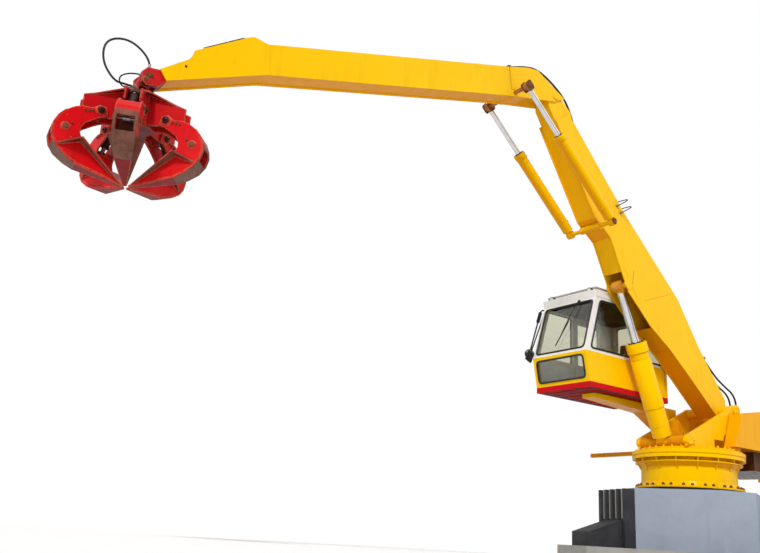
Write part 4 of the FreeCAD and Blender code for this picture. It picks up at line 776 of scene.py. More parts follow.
class Stock:
    """Gathers the faces of one piece from bolts, strips, rings and pipes."""

    def __init__(self, name: str) -> None:
        """Starts an empty piece of that name."""
        self.name = name
        self.bm = bmesh.new()

    def turned(
        self, profile: Sequence[tuple[float, float]], base: Vector, axis: Vector, steps: int = 24,
        turn: float = 0.0,
    ) -> None:
        """Adds a lathe-turned solid.

        Args:
            profile: Radius and height pairs from one end to the other.
            base: Where height is zero.
            axis: Direction of height.
            steps: Facets round the axis.
            turn: Angle of the first facet in radians.
        """
        up = axis.normalized()
        side = up.orthogonal().normalized()
        other = up.cross(side)
        rings = []
        for radius, height in profile:
            ring = []
            for step in range(steps):
                angle = turn + 2 * math.pi * step / steps
                ring.append(
                    self.bm.verts.new(
                        base + up * height + (
                            side * math.cos(angle) + other * math.sin(angle)
                        ) * max(radius, 1e-5)
                    )
                )
            rings.append(ring)
        for low, high in zip(rings, rings[1:]):
            for step in range(steps):
                follow = (step + 1) % steps
                self.bm.faces.new((low[step], low[follow], high[follow], high[step]))
        self.bm.faces.new(list(reversed(rings[0])))
        self.bm.faces.new(rings[-1])

    def plate(
        self, corners: Sequence[tuple[float, float]], axes: Axes, low: float, high: float,
        chamfer: float = 0.0,
    ) -> None:
        """Adds a flat plate.

        Args:
            corners: The outline in the axes' plane.
            axes: The plate's frame.
            low: Where it starts along the out direction.
            high: Where it ends.
            chamfer: Width of the softened edge round both faces.
        """
        under = [self.bm.verts.new(axes.at(x, y, low)) for x, y in corners]
        over = [self.bm.verts.new(axes.at(x, y, high)) for x, y in corners]
        faces = [self.bm.faces.new(list(reversed(under))), self.bm.faces.new(over)]
        count = len(corners)
        for step in range(count):
            follow = (step + 1) % count
            faces.append(self.bm.faces.new((under[step], under[follow], over[follow], over[step])))
        if chamfer:
            edges = {edge for face in faces for edge in face.edges}
            bmesh.ops.bevel(
                self.bm, geom=list(edges), offset=chamfer, segments=2, affect="EDGES", clamp_overlap=True
            )

    def bolt(self, at: Vector, axis: Vector, across: float, turn: float = 0.3) -> None:
        """Adds a hexagon head on a washer, with its chamfer and the stud's end.

        Args:
            at: Where the washer sits.
            axis: Direction away from the joint.
            across: Width across the flats.
            turn: Angle that the head stopped at.
        """
        corner = across / 2 / math.cos(math.pi / 6)
        self.turned(
            ((corner * 1.12, 0.0), (corner * 1.12, across * 0.09), (corner * 1.05, across * 0.1)), at, axis,
            16,
        )
        self.turned(
            (
                (corner, across * 0.1), (corner, across * 0.66), (corner * 0.86, across * 0.75)
            ), at, axis, 6, turn
        )
        self.turned(
            ((across * 0.3, across * 0.7), (across * 0.3, across * 0.95), (across * 0.24, across)), at,
            axis, 12,
        )

    def tube(self, path: Sequence[Vector], radius: float, steps: int = 12, ring: bool = False) -> None:
        """Adds a round pipe along a path.

        Args:
            path: Points along its middle.
            radius: Outside radius.
            steps: Facets round it.
            ring: Whether the path closes on itself.
        """
        count = len(path)
        side = (path[1] - path[0]).orthogonal().normalized()
        rings = []
        for place, point in enumerate(path):
            ahead = path[(place + 1) % count] if ring or place + 1 < count else point
            behind = path[place - 1] if ring or place else point
            way = (ahead - behind).normalized()
            side = (side - way * side.dot(way)).normalized()
            other = way.cross(side)
            rings.append(
                [
                    self.bm.verts.new(
                        point + (
                            side * math.cos(
                                2 * math.pi * k / steps
                            ) + other * math.sin(2 * math.pi * k / steps)
                        ) * radius
                    )
                    for k in range(steps)
                ]
            )
        spans = list(zip(rings, rings[1:])) + ([(rings[-1], rings[0])] if ring else [])
        for low, high in spans:
            for k in range(steps):
                follow = (k + 1) % steps
                self.bm.faces.new((low[k], low[follow], high[follow], high[k]))
        if not ring:
            self.bm.faces.new(list(reversed(rings[0])))
            self.bm.faces.new(rings[-1])

    def bead(self, start: Vector, end: Vector, size: float) -> None:
        """Adds a weld bead between two points, rippled along its length.

        Args:
            start: First end.
            end: Last end.
            size: The bead's width.
        """
        count = max(4, int((end - start).length / (size * 1.6)))
        points = [start.lerp(end, k / count) for k in range(count + 1)]
        side = (end - start).orthogonal().normalized()
        other = (end - start).normalized().cross(side)
        rings = []
        for place, point in enumerate(points):
            swell = size * (0.5 if place % 2 else 0.42)
            rings.append(
                [
                    self.bm.verts.new(
                        point + (
                            side * math.cos(k * math.pi / 3) + other * math.sin(k * math.pi / 3)
                        ) * swell
                    )
                    for k in range(6)
                ]
            )
        for low, high in zip(rings, rings[1:]):
            for k in range(6):
                self.bm.faces.new((low[k], low[(k + 1) % 6], high[(k + 1) % 6], high[k]))
        self.bm.faces.new(list(reversed(rings[0])))
        self.bm.faces.new(rings[-1])

    def done(
        self, material: bpy.types.Material, body: str | None, smooth: float = 35.0
    ) -> bpy.types.Object:
        """Makes the piece.

        Args:
            material: Its finish.
            body: The body that it rides on, or None to leave it free.
            smooth: Edges sharper than this many degrees stay crisp.

        Returns:
            The new object.
        """
        bmesh.ops.recalc_face_normals(self.bm, faces=self.bm.faces)
        mesh = bpy.data.meshes.new(self.name)
        self.bm.to_mesh(mesh)
        self.bm.free()
        mesh.shade_smooth()
        mesh.set_sharp_from_angle(angle=math.radians(smooth))
        mesh.materials.append(material)
        item = bpy.data.objects.new(self.name, mesh)
        bpy.context.scene.collection.objects.link(item)
        if body:
            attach(item, body)
        LOG.info("%s: %d faces", self.name, len(mesh.polygons))
        return item


def smooth_line(points: Sequence[Vector], name: str) -> list[Vector]:
    """Reads a hose's middle line from its NURBS spline.

    Args:
        points: The route's points.
        name: Name for the passing curve.

    Returns:
        Points along the smooth line.
    """
    curve = bpy.data.curves.new(name, "CURVE")
    curve.dimensions = "3D"
    curve.resolution_u = 10
    spline = curve.splines.new("NURBS")
    spline.points.add(len(points) - 1)
    for slot, point in zip(spline.points, points):
        slot.co = (*point, 1.0)
    spline.order_u = 3
    spline.use_endpoint_u = True
    item = bpy.data.objects.new(name, curve)
    bpy.context.scene.collection.objects.link(item)
    bpy.context.view_layer.update()
    mesh = bpy.data.meshes.new_from_object(item)
    line = [vertex.co.copy() for vertex in mesh.vertices]
    bpy.data.meshes.remove(mesh)
    bpy.data.objects.remove(item)
    bpy.data.curves.remove(curve)
    return line


# ------------------------------------------------------------------ the machine
@dataclass
class Machine:
    """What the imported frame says, and the finishes."""

    frame: Mapping[str, Any]
    palette: Palette = field(default_factory=Palette)
    boom_pitch: float = 48.55
    stick_drop: float = 17.3

    def joint(self, name: str) -> Vector:
        """Returns where a joint's axis passes, at rest.

        Args:
            name: The joint's name.

        Returns:
            A point on its axis.
        """
        return next(Vector(joint["pos_m"]) for joint in self.frame["joints"] if joint["name"] == name)

    def boom(self) -> Axes:
        """Returns the boom's axes: along it from its foot pin, and across it towards its back."""
        foot = self.joint("boom_lift")
        return upright_axes(foot.x, foot.z, self.boom_pitch)

    def stick(self) -> Axes:
        """Returns the stick's axes: along it from the knuckle, and across it towards its top."""
        knuckle = self.joint("stick_arm")
        return upright_axes(knuckle.x, knuckle.z, -self.stick_drop)

    def paint(self, kinds: Mapping[str, Kind]) -> None:
        """Dresses structural parts.

        Args:
            kinds: The finish for each part whose name starts with the key.
        """
        for start, kind in kinds.items():
            for name, node in self.frame["nodes"].items():
                if name.startswith(start):
                    self.palette.dress(node, kind)

    def stock(self, piece: Stock, kind: Kind, body: str | None, smooth: float = 35.0) -> bpy.types.Object:
        """Finishes a piece of stock in one of the machine's finishes."""
        return piece.done(self.palette.get(kind), body, smooth)


@dataclass
class Studio:
    """A pale floor, soft light and the camera."""

    camera_at: Vector = field(default_factory=lambda: Vector((13.049, 9.058, 0.149)))
    heading: float = 0.60435
    pitch: float = 0.30336
    roll: float = 0.06409
    lens_mm: float = 39.69

    def build(self) -> None:
        """Sets the camera, the lamps, the world and the floor."""
        self.place_camera()
        self.place_lamps()
        self.colour_world()
        self.lay_floor()

    def place_camera(self) -> None:
        """Puts the camera near the floor, looking up at the arm."""
        level = Vector((-math.sin(self.heading), -math.cos(self.heading), 0))
        right = Vector((-math.cos(self.heading), math.sin(self.heading), 0))
        up = UP
        forward = level * math.cos(self.pitch) + up * math.sin(self.pitch)
        raised = up * math.cos(self.pitch) - level * math.sin(self.pitch)
        across = right * math.cos(self.roll) + raised * math.sin(self.roll)
        top = raised * math.cos(self.roll) - right * math.sin(self.roll)
        data = bpy.data.cameras.new("view")
        data.lens, data.sensor_width, data.clip_end = self.lens_mm, 36.0, 200.0
        camera = bpy.data.objects.new("view", data)
        turn = Matrix((across, top, -forward)).transposed().to_4x4()
        camera.matrix_world = Matrix.Translation(self.camera_at) @ turn
        bpy.context.scene.collection.objects.link(camera)
        bpy.context.scene.camera = camera

    def place_lamps(self) -> None:
        """A high soft sun over the viewer's shoulder, and a broad fill from the other side."""
        for name, strength, size, direction in (
            ("key", 1.95, 0.16, (-0.62, -0.60, -0.75)),
            ("fill", 0.35, 1.0, (0.7, -0.5, -0.35)),
        ):
            data = bpy.data.lights.new(name, "SUN")
            data.energy, data.angle = strength, size
            lamp = bpy.data.objects.new(name, data)
            lamp.rotation_euler = Vector(direction).to_track_quat("-Z", "Y").to_euler()
            bpy.context.scene.collection.objects.link(lamp)

    def colour_world(self) -> None:
        """Grey light all round, which the camera and the gloss see as white."""
        world = bpy.data.worlds.new("studio")
        world.use_nodes = True
        tree = world.node_tree
        back = tree.nodes["Background"]
        back.inputs["Color"].default_value = (1, 1, 1, 1)
        path = add(tree, "ShaderNodeLightPath")
        seen = add(
            tree, "ShaderNodeMath", {"operation": "ADD"},
            {0: path.outputs["Is Camera Ray"], 1: path.outputs["Is Transmission Ray"]},
        )
        gloss = add(
            tree, "ShaderNodeMath", {"operation": "MULTIPLY", 1: 0.6}, {0: path.outputs["Is Glossy Ray"]}
        )
        all_seen = add(
            tree, "ShaderNodeMath", {"operation": "MAXIMUM"}, {0: seen.outputs[0], 1: gloss.outputs[0]}
        )
        level = add(
            tree, "ShaderNodeMapRange", {"To Min": 0.46, "To Max": 1.0}, {"Value": all_seen.outputs[0]}
        )
        # a dim wall low in the studio gives the chrome its dark line
        way = add(
            tree, "ShaderNodeSeparateXYZ", {}, {0: add(tree, "ShaderNodeTexCoord").outputs["Generated"]}
        )
        low = add(
            tree, "ShaderNodeMapRange", {"From Min": 0.30, "From Max": 0.02, "To Max": 0.75},
            {"Value": way.outputs[2]},
        )
        # and a narrow black flag stands to one side of it
        flag = add(
            tree, "ShaderNodeVectorMath", {"operation": "DOT_PRODUCT", 1: (0.50, 0.86, 0.0)},
            {0: add(tree, "ShaderNodeTexCoord").outputs["Generated"]},
        )
        dark = add(
            tree, "ShaderNodeMapRange", {"From Min": 0.84, "From Max": 0.90, "To Max": 0.9},
            {"Value": flag.outputs["Value"]},
        )
        dim = add(tree, "ShaderNodeMath", {"operation": "MAXIMUM"}, {0: low.outputs[0], 1: dark.outputs[0]})
        wall = add(
            tree, "ShaderNodeMath", {"operation": "MULTIPLY"},
            {0: dim.outputs[0], 1: path.outputs["Is Glossy Ray"]},
        )
        kept = add(tree, "ShaderNodeMath", {"operation": "SUBTRACT", 0: 1.0}, {1: wall.outputs[0]})
        strength = add(
            tree, "ShaderNodeMath", {"operation": "MULTIPLY"}, {0: level.outputs[0], 1: kept.outputs[0]}
        )
        tree.links.new(strength.outputs[0], back.inputs["Strength"])
        bpy.context.scene.world = world

    def lay_floor(self) -> None:
        """A matt white floor that keeps the machine's shadow."""
        piece = Stock("studio_floor")
        piece.turned(((60.0, -0.02), (60.0, -0.001)), Vector((4, 0, 0)), UP, 64)
        paint = Masonry("studio_floor_paint", "f8f8f7", "f4f4f3", mottle=0.2).make()
        tree = paint.node_tree
        shader = tree.nodes["Principled BSDF"]
        # only the camera sees this lift, so the floor meets the white behind it and keeps its shadows
        seen = add(tree, "ShaderNodeLightPath").outputs["Is Camera Ray"]
        lift = add(tree, "ShaderNodeMath", {"operation": "MULTIPLY", 1: 0.16}, {0: seen})
        shader.inputs["Emission Color"].default_value = (1, 1, 1, 1)
        tree.links.new(lift.outputs[0], shader.inputs["Emission Strength"])
        floor = piece.done(paint, None)


@dataclass
class Pedestal:
    """The concrete column, its buttresses and the bolted slewing collar."""

    machine: Machine
    flange_radius: float = 0.866
    flange_top: float = 1.304
    ring_top: float = 1.900
    gussets: int = 16
    yaw: float = 24.8
    column_half: float = 1.135
    column_corner: float = 0.460
    rib_low: float = 0.72
    rib_high: float = 1.195

    def build(self) -> None:
        """Paints the base and adds its fixings."""
        self.machine.paint(
            {
                "footing": Kind.FOOTING,
                "plinth_column": Kind.PEDESTAL,
                # the buttresses' near-black concrete is painted shade
                "plinth_buttresses": Kind.SHADED_PEDESTAL,
                # the adapter ring's black is partly its own paint and partly painted shade under the collar's
                # foot flange
                "adapter_ring": Kind.BLACK_STEEL,
                "slew_collar": Kind.YELLOW,
            }
        )
        self.flange_nuts()
        self.ring_bolts()
        self.rib_highlights()

    def flange_nuts(self) -> None:
        """Two rusty nuts in each bay of the foot flange."""
        piece = Stock("flange_nuts")
        for number in range(self.gussets):
            for part in (0.3, 0.7):
                angle = 2 * math.pi * (number + part) / self.gussets
                at = Vector(
                    (math.cos(angle), math.sin(angle), 0)
                ) * self.flange_radius + Vector((0, 0, self.flange_top))
                piece.bolt(at, UP, 0.046, number * 0.7 + part)
        self.machine.stock(piece, Kind.RUST, "base")

    def ring_bolts(self) -> None:
        """Bolt heads on the top ring, round the turntable."""
        piece = Stock("ring_bolts")
        for number in range(36):
            angle = 2 * math.pi * number / 36
            at = Vector((math.cos(angle), math.sin(angle), 0)) * 0.88 + Vector((0, 0, self.ring_top))
            piece.bolt(at, UP, 0.036, number * 0.9)
        self.machine.stock(piece, Kind.YELLOW, "base")

    def rib_highlights(self) -> None:
        """Painted highlight: pale cast-concrete strips in the four slots between each buttress's ribs stand
        in for the ribs' lit edges.
        """
        for word, turn in (("front", self.yaw - 45), ("rear", self.yaw + 135)):
            heading = math.radians(turn)
            axes = Axes(
                Vector((0, 0, 0)), Vector((math.cos(heading), math.sin(heading), 0)),
                Vector((-math.sin(heading), math.cos(heading), 0)),
            )
            face = self.column_half * math.sqrt(2) - self.column_corner / math.sqrt(2) + 0.151
            piece = Stock(f"rib_highlight_strips_{word}")
            pitch = (0.50 + 0.33 - 0.06) / 4
            for number in range(4):
                start = -0.50 + 0.06 + pitch * number
                strip = (
                    (face - 0.004, start + 0.03), (face + 0.003, start + 0.03),
                    (face + 0.003, start + pitch - 0.09), (face - 0.004, start + pitch - 0.09),
                )
                piece.plate(strip, axes, self.rib_low, self.rib_high, 0.001)
            self.machine.stock(piece, Kind.FOOTING, "base")


@dataclass
class Upper:
    """The turntable, its brackets, the tail and the hoses to the boom."""

    machine: Machine
    deck_top: float = 1.950
    tail_top: float = 2.731
    tail_half: float = 0.750

    def build(self) -> None:
        """Paints the upper and adds its fixings and hoses."""
        self.machine.paint(
            {
                "slew_bearing": Kind.BLACK_STEEL, "turntable": Kind.YELLOW, "boom_brackets": Kind.YELLOW,
                # the foot shaft, slew drive and side bar take the painted-shade copy of the yellow
                "lift_foot_shaft": Kind.SHADED_YELLOW, "boom_foot_pin": Kind.YELLOW, "slew_drive": Kind.SHADED_YELLOW,
                "side_bar": Kind.SHADED_YELLOW, "tail_frame": Kind.TAIL, "tail_door": Kind.TAIL,
                # the belly ballast is painted dark brown as painted shade under the tail
                "power_unit": Kind.BLACK_STEEL, "belly_ballast": Kind.SHADED_BELLY, "counterweight": Kind.TAIL,
            }
        )
        self.deck_bolts()
        self.pin_caps()
        self.louvres()
        self.foot_hoses()

    def deck_bolts(self) -> None:
        """Bolts round the edge of the deck plate, left out under the bracket plates."""
        piece = Stock("deck_bolts")
        for number in range(32):
            angle = 2 * math.pi * (number + 0.5) / 32
            at = Vector((math.cos(angle) * 0.775, math.sin(angle) * 0.775, self.deck_top))
            if not (0.40 < abs(at.y) < 0.56 or (at.x < -0.25 and abs(at.y) > 0.5) or at.y < -0.55):
                piece.bolt(at, UP, 0.036, number * 0.8)
        self.machine.stock(piece, Kind.YELLOW, "upper")

    def pin_caps(self) -> None:
        """Keeper plates with their bolts at the ends of the boom's foot pin."""
        foot = self.machine.joint("boom_lift")
        for word, sign in (("left", 1), ("right", -1)):
            piece = Stock(f"foot_pin_cap_{word}")
            end = Vector((foot.x, sign * 0.5122, foot.z))
            piece.turned(
                ((0.098, -0.010), (0.098, 0.010), (0.092, 0.016), (0.03, 0.018), (0.0, 0.018)), end,
                Vector((0, sign, 0)), 40,
            )
            for step in range(4):
                angle = math.pi / 4 + step * math.pi / 2
                at = end + Vector((math.cos(angle) * 0.052, sign * 0.014, math.sin(angle) * 0.052))
                piece.bolt(at, Vector((0, sign, 0)), 0.022)
            self.machine.stock(piece, Kind.YELLOW, "upper", 40)
            shaft = self.machine.joint("lift_barrel_pivot")
            lug = Stock(f"lift_shaft_cap_{word}")
            end = Vector((shaft.x, sign * 0.4995, shaft.z))
            lug.turned(
                (
                    (0.082, 0.0), (0.082, 0.018), (0.074, 0.026), (0.058, 0.026), (0.054, 0.021),
                    (0.0, 0.021),
                ),
                end, Vector((0, sign, 0)), 36,
            )
            side = Axes(Vector((0, sign * 0.4995, 0)), AHEAD, UP)
            low, high = (-0.016, 0.0) if sign > 0 else (0.0, 0.016)
            lug.plate(
                ((0.535, 1.985), (0.565, 1.985), (0.565, 2.065), (0.535, 2.065)), side, low, high, 0.003
            )
            for z in (2.0, 2.05):
                lug.bolt(side.at(0.55, z, -0.016 * sign), Vector((0, sign, 0)), 0.024)
            self.machine.stock(lug, Kind.YELLOW, "upper", 40)

    def louvres(self) -> None:
        """Pressed louvres on the tail's left side, the hatch and the right side."""
        for word, sign, spans in (
            ("left", 1, ((-3.55, -2.98), (-1.72, -1.30))), ("right", -1, ((-3.4, -2.7), (-2.5, -1.8)))
        ):
            piece = Stock(f"tail_louvres_{word}")
            for start, end in spans:
                for step in range(7):
                    level = 2.22 + 0.052 * step
                    axes = Axes(Vector((0, sign * self.tail_half, level)), AHEAD, Vector((0, sign, 0)))
                    run = ((start, -0.004), (start + 0.03, 0.016), (end - 0.03, 0.016), (end, -0.004))
                    piece.plate(run, axes, -0.012, 0.016, 0.003)
            self.machine.stock(piece, Kind.YELLOW, "upper")

    def foot_hoses(self) -> None:
        """The hoses from the tail's bulkhead to the clamp on the boom's back."""
        boom = self.machine.boom()
        for number in range(3):
            y = -0.09 + 0.12 * number
            top = self.tail_top
            route = [
                Vector((-1.34, y, top + 0.02)), Vector((-1.365, y, top + 0.19)),
                Vector((-1.275, y, top + 0.40)),
            ]
            route += [Vector((-0.98, y, top + 0.515)), boom.at(0.55, 0.39, -y), boom.at(0.93, 0.338, -y)]
            line = smooth_line(route, f"foot_hose_line_{number}")
            piece = Stock(f"foot_hose_{number}")
            piece.tube(line, 0.017, 14)
            hose = self.machine.stock(piece, Kind.RUBBER, None)
            tuple(boom.at(0.85, 0.34, -y))
            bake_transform(hose)
            if number == 0:
                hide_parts("foot_hoses")
            for word, at, way, body in (
                ("tail", route[0], UP, "upper"),
                ("boom", route[-1], boom.along * -1, "boom"),
            ):
                fitting = Stock(f"foot_hose_{number}_{word}_end")
                fitting.turned(
                    (
                        (0.024, -0.012), (0.024, 0.012), (0.021, 0.014), (0.021, 0.05), (0.0205, 0.075),
                        (0.0175, 0.078),
                    ), at, way, 18
                )
                self.machine.stock(fitting, Kind.ZINC, body)
        plate = Stock("hose_bulkhead")
        low, high = -1.38, -1.30
        axes = Axes(Vector((0, 0, self.tail_top)), AHEAD, LEFT)
        plate.plate(((low, -0.15), (high, -0.15), (high, 0.21), (low, 0.21)), axes, 0.0, 0.03, 0.004)
        self.machine.stock(plate, Kind.YELLOW, "upper")
        clamp = Stock("foot_hose_clamp")
        rise = 0.025 * (0.93 - 0.06) / (6.451 * 0.19 - 0.06) + 0.285
        for low_t, high_t in ((rise + 0.0016, rise + 0.0336), (rise + 0.0736, rise + 0.082)):
            clamp.plate(
                ((0.9, low_t), (0.96, low_t), (0.96, high_t), (0.9, high_t)), boom, -0.165, 0.165, 0.003
            )
        for y in (-0.15, -0.03, 0.09):
            clamp.bolt(boom.at(0.93, rise + 0.082, y), boom.across, 0.019)
        self.machine.stock(clamp, Kind.ZINC, "boom")


@dataclass
class Cab:
    """The operator's cab: paint, seals, glass, wiper, lamps, mirror and seat."""

    machine: Machine
    near: float = -0.25
    far: float = -1.47
    rear: float = 0.15
    nose: float = 2.23
    floor: float = 2.793
    band: float = 0.094
    waist: float = 3.404
    chin: float = 2.327
    brow: float = 2.038
    eaves: float = 4.405
    bar: float = 0.060

    def rake(self, height: float) -> float:
        """Returns the x of the raked front at a height above the waist.

        Args:
            height: Height above the ground.

        Returns:
            Distance ahead of the slewing axis.
        """
        return self.chin - (self.chin - self.brow) * (height - self.waist) / (self.eaves - self.waist)

    def build(self) -> None:
        """Paints the cab and fits it out."""
        self.machine.paint(
            {
                "cab_arm": Kind.YELLOW, "cab_base": Kind.RED, "cab_lower_shell": Kind.YELLOW,
                "cab_upper_frame": Kind.WHITE, "cab_roof": Kind.WHITE, "cab_door": Kind.WHITE,
                "cab_door_glass": Kind.GLASS, "cab_windows": Kind.GLASS, "operator_seat": Kind.MOULDED,
                "control_consoles": Kind.MOULDED, "cab_mirror": Kind.BLACK_STEEL, "roof_rail": Kind.GREY,
            }
        )
        self.seals()
        self.wiper()
        self.lamps()
        self.lining()
        self.seat()
        self.levers()
        self.door_handle()
        self.service_lines()
        self.mirror_mount()
        self.footwell()

    def loop(self, corners: Sequence[Vector], radius: float) -> list[Vector]:
        """Rounds the corners of a closed path.

        Args:
            corners: The path's corners in order.
            radius: Distance from each corner where the rounding starts.

        Returns:
            Points along the rounded path.
        """
        points = []
        for place, corner in enumerate(corners):
            before, after = corners[place - 1], corners[(place + 1) % len(corners)]
            enter = corner + (before - corner).normalized() * radius
            leave = corner + (after - corner).normalized() * radius
            for step in range(7):
                part = step / 6
                points.append(enter.lerp(corner, part).lerp(corner.lerp(leave, part), part))
        return points

    def seals(self) -> None:
        """Rubber glazing seals with round corners, on the outside of each pane."""
        low, high = self.waist + self.bar, self.eaves - self.bar
        inner = 0.05 + self.bar
        panes = {
            "screen": [
                Vector((self.rake(low) + 0.002, self.far + self.bar, low)), Vector(
                    (self.rake(low) + 0.002, self.near - self.bar, low)
                ),
                Vector((self.rake(high) + 0.002, self.near - self.bar, high)), Vector(
                    (self.rake(high) + 0.002, self.far + self.bar, high)
                ),
            ],
            "near": [
                Vector((self.rear + 2 * self.bar, self.near + 0.002, low)), Vector(
                    (self.rake(low) - inner, self.near + 0.002, low)
                ),
                Vector((self.rake(high) - inner, self.near + 0.002, high)), Vector(
                    (self.rear + 2 * self.bar, self.near + 0.002, high)
                ),
            ],
            "far": [
                Vector((1.33, self.far - 0.002, low)), Vector(
                    (self.rake(low) - inner, self.far - 0.002, low)
                ),
                Vector((self.rake(high) - inner, self.far - 0.002, high)), Vector(
                    (1.33, self.far - 0.002, high)
                ),
            ],
            "rear": [
                Vector((self.rear - 0.002, self.far + 2 * self.bar, low)), Vector(
                    (self.rear - 0.002, self.near - 2 * self.bar, low)
                ),
                Vector((self.rear - 0.002, self.near - 2 * self.bar, high)), Vector(
                    (self.rear - 0.002, self.far + 2 * self.bar, high)
                ),
            ],
        }
        foot, head = self.floor + self.band + 0.07, self.waist - 0.07
        slope = (self.chin - 0.002 - self.nose) / (self.waist - 0.043 - self.floor - self.band)
        low_x = self.nose + 0.07 * slope + 0.003
        high_x = self.nose + (head - self.floor - self.band) * slope + 0.003
        side = self.bar + 0.02
        panes["toe"] = [
            Vector((low_x, self.far + side, foot)), Vector((low_x, self.near - side, foot)),
            Vector((high_x, self.near - side, head)), Vector((high_x, self.far + side, head)),
        ]
        for name, corners in panes.items():
            piece = Stock(f"seal_{name}")
            piece.tube(self.loop(corners, 0.07), 0.017, 10, ring=True)
            self.machine.stock(piece, Kind.SEAL, "upper", 60)
        door = Stock("seal_door")
        y = self.far - 0.001
        door.tube(
            self.loop(
                [
                    Vector((0.6, y, low)), Vector((1.19, y, low)), Vector((1.19, y, 4.27)),
                    Vector((0.6, y, 4.27)),
                ],
                0.06,
            ),
            0.015, 10, ring=True,
        )
        self.machine.stock(door, Kind.SEAL, "cab_door", 60)

    def wiper(self) -> None:
        """The windscreen wiper: motor boss, arm and blade."""
        piece = Stock("screen_wiper")
        root = Vector((self.rake(4.37) + 0.012, -0.62, 4.37))
        normal = Vector((1, 0, (self.chin - self.brow) / (self.eaves - self.waist))).normalized()
        piece.turned(
            ((0.028, 0.0), (0.028, 0.018), (0.02, 0.03), (0.0, 0.032)), root - normal * 0.01, normal, 20
        )
        tip = Vector((self.rake(3.80) + 0.02, -0.86, 3.80))
        piece.tube(
            [root + normal * 0.02, root.lerp(tip, 0.5) + normal * 0.03, tip + normal * 0.012], 0.007, 8
        )
        way = (tip - root).normalized()
        piece.tube([tip - way * 0.26 + normal * 0.002, tip + way * 0.26 + normal * 0.002], 0.010, 8)
        self.machine.stock(piece, Kind.SEAL, "upper")

    def lamps(self) -> None:
        """Two work lamps on the roof's front edge."""
        for number, y in enumerate((-0.42, -1.30)):
            at = Vector((self.brow - 0.03, y, self.eaves + 0.117 + 0.02))
            way = Vector((0.94, 0, -0.34)).normalized()
            shell = Stock(f"work_lamp_{number}")
            shell.turned(
                ((0.03, -0.055), (0.046, -0.04), (0.055, 0.0), (0.058, 0.02), (0.052, 0.022)), at, way, 24
            )
            self.machine.stock(shell, Kind.BLACK_STEEL, "upper")
            lens = Stock(f"work_lamp_lens_{number}")
            lens.turned(((0.051, 0.016), (0.049, 0.024), (0.03, 0.029), (0.0, 0.031)), at, way, 24)
            self.machine.stock(lens, Kind.LAMP, "upper")


    def lining(self) -> None:
        """The headliner with its ribs, and the beige panel round the rear window."""
        level = Axes(Vector((0, 0, 0)), AHEAD, LEFT)
        roof = Stock("cab_headliner")
        front = self.rake(4.36) - 0.075
        roof.plate(
            ((0.21, -1.41), (front, -1.41), (front, -0.31), (0.21, -0.31)), level, 4.368, 4.396, 0.008
        )
        for x in (0.55, 0.95, 1.35, 1.7):
            roof.plate(
                ((x, -1.38), (x + 0.05, -1.38), (x + 0.05, -0.34), (x, -0.34)), level, 4.356, 4.372, 0.005
            )
        self.machine.stock(roof, Kind.HEADLINER, "upper")
        wall = Stock("cab_rear_panel")
        back = Axes(Vector((0.212, 0, 0)), LEFT, UP)
        low, high = 2.90, self.waist + self.bar + 0.02
        wall.plate(((-1.41, low), (-0.31, low), (-0.31, high), (-1.41, high)), back, -0.008, 0.006, 0.004)
        for step in range(4):
            y = -1.28 + 0.28 * step
            wall.plate(
                ((y, low + 0.08), (y + 0.2, low + 0.08), (y + 0.2, high - 0.08), (y, high - 0.08)), back,
                0.004, 0.014, 0.006,
            )
        self.machine.stock(wall, Kind.LINING, "upper")
        mat = Stock("cab_floor_mat")
        mat.plate(((0.25, -1.40), (2.12, -1.40), (2.12, -0.32), (0.25, -0.32)), level, 2.8872, 2.896, 0.003)
        for step in range(22):
            x = 1.02 + 0.05 * step
            mat.plate(
                ((x, -1.36), (x + 0.018, -1.36), (x + 0.018, -0.36), (x, -0.36)), level, 2.894, 2.899, 0.001
            )
        self.machine.stock(mat, Kind.RUBBER, "upper")

    def pillow(self, name: str, axes: Axes, half_x: float, half_y: float, thick: float) -> bpy.types.Object:
        """A crowned cushion with two sewn channels.

        Args:
            name: The piece's name.
            axes: Its frame, whose out direction is its thickness.
            half_x: Half its length.
            half_y: Half its width.
            thick: Its full thickness at the crown.

        Returns:
            The cushion.
        """
        count = 20
        piece = Stock(name)
        sheets: list[list[list[Any]]] = []
        rim: dict[tuple[int, int], Any] = {}
        for face in (1, -1):
            grid = []
            for i in range(count + 1):
                row = []
                for j in range(count + 1):
                    u, v = 2 * i / count - 1, 2 * j / count - 1
                    edge = max((1 - u**6) * (1 - v**6), 0.0)
                    x = half_x * u * (1 - 0.05 * (1 - v * v) * abs(u))
                    y = half_y * v * (1 - 0.05 * (1 - u * u) * abs(v))
                    sewn = sum(math.exp(-(((v - at) / 0.045) ** 2)) for at in (-0.34, 0.34))
                    z = face * thick / 2 * edge**0.3
                    if face > 0:
                        z -= thick * 0.16 * sewn * edge**0.3
                    on_rim = i in (0, count) or j in (0, count)
                    if on_rim and (i, j) in rim:
                        row.append(rim[i, j])
                        continue
                    vertex = piece.bm.verts.new(axes.at(x, y, 0.0 if on_rim else z))
                    if on_rim:
                        rim[i, j] = vertex
                    row.append(vertex)
                grid.append(row)
            sheets.append(grid)
        for face, grid in zip((1, -1), sheets):
            for i in range(count):
                for j in range(count):
                    corners = (grid[i][j], grid[i + 1][j], grid[i + 1][j + 1], grid[i][j + 1])
                    piece.bm.faces.new(corners if face > 0 else tuple(reversed(corners)))
        cushion = self.machine.stock(piece, Kind.CLOTH, "upper", 80)
        smooth = cushion.modifiers.new("rounding", "SUBSURF")
        smooth.levels = smooth.render_levels = 1
        return cushion

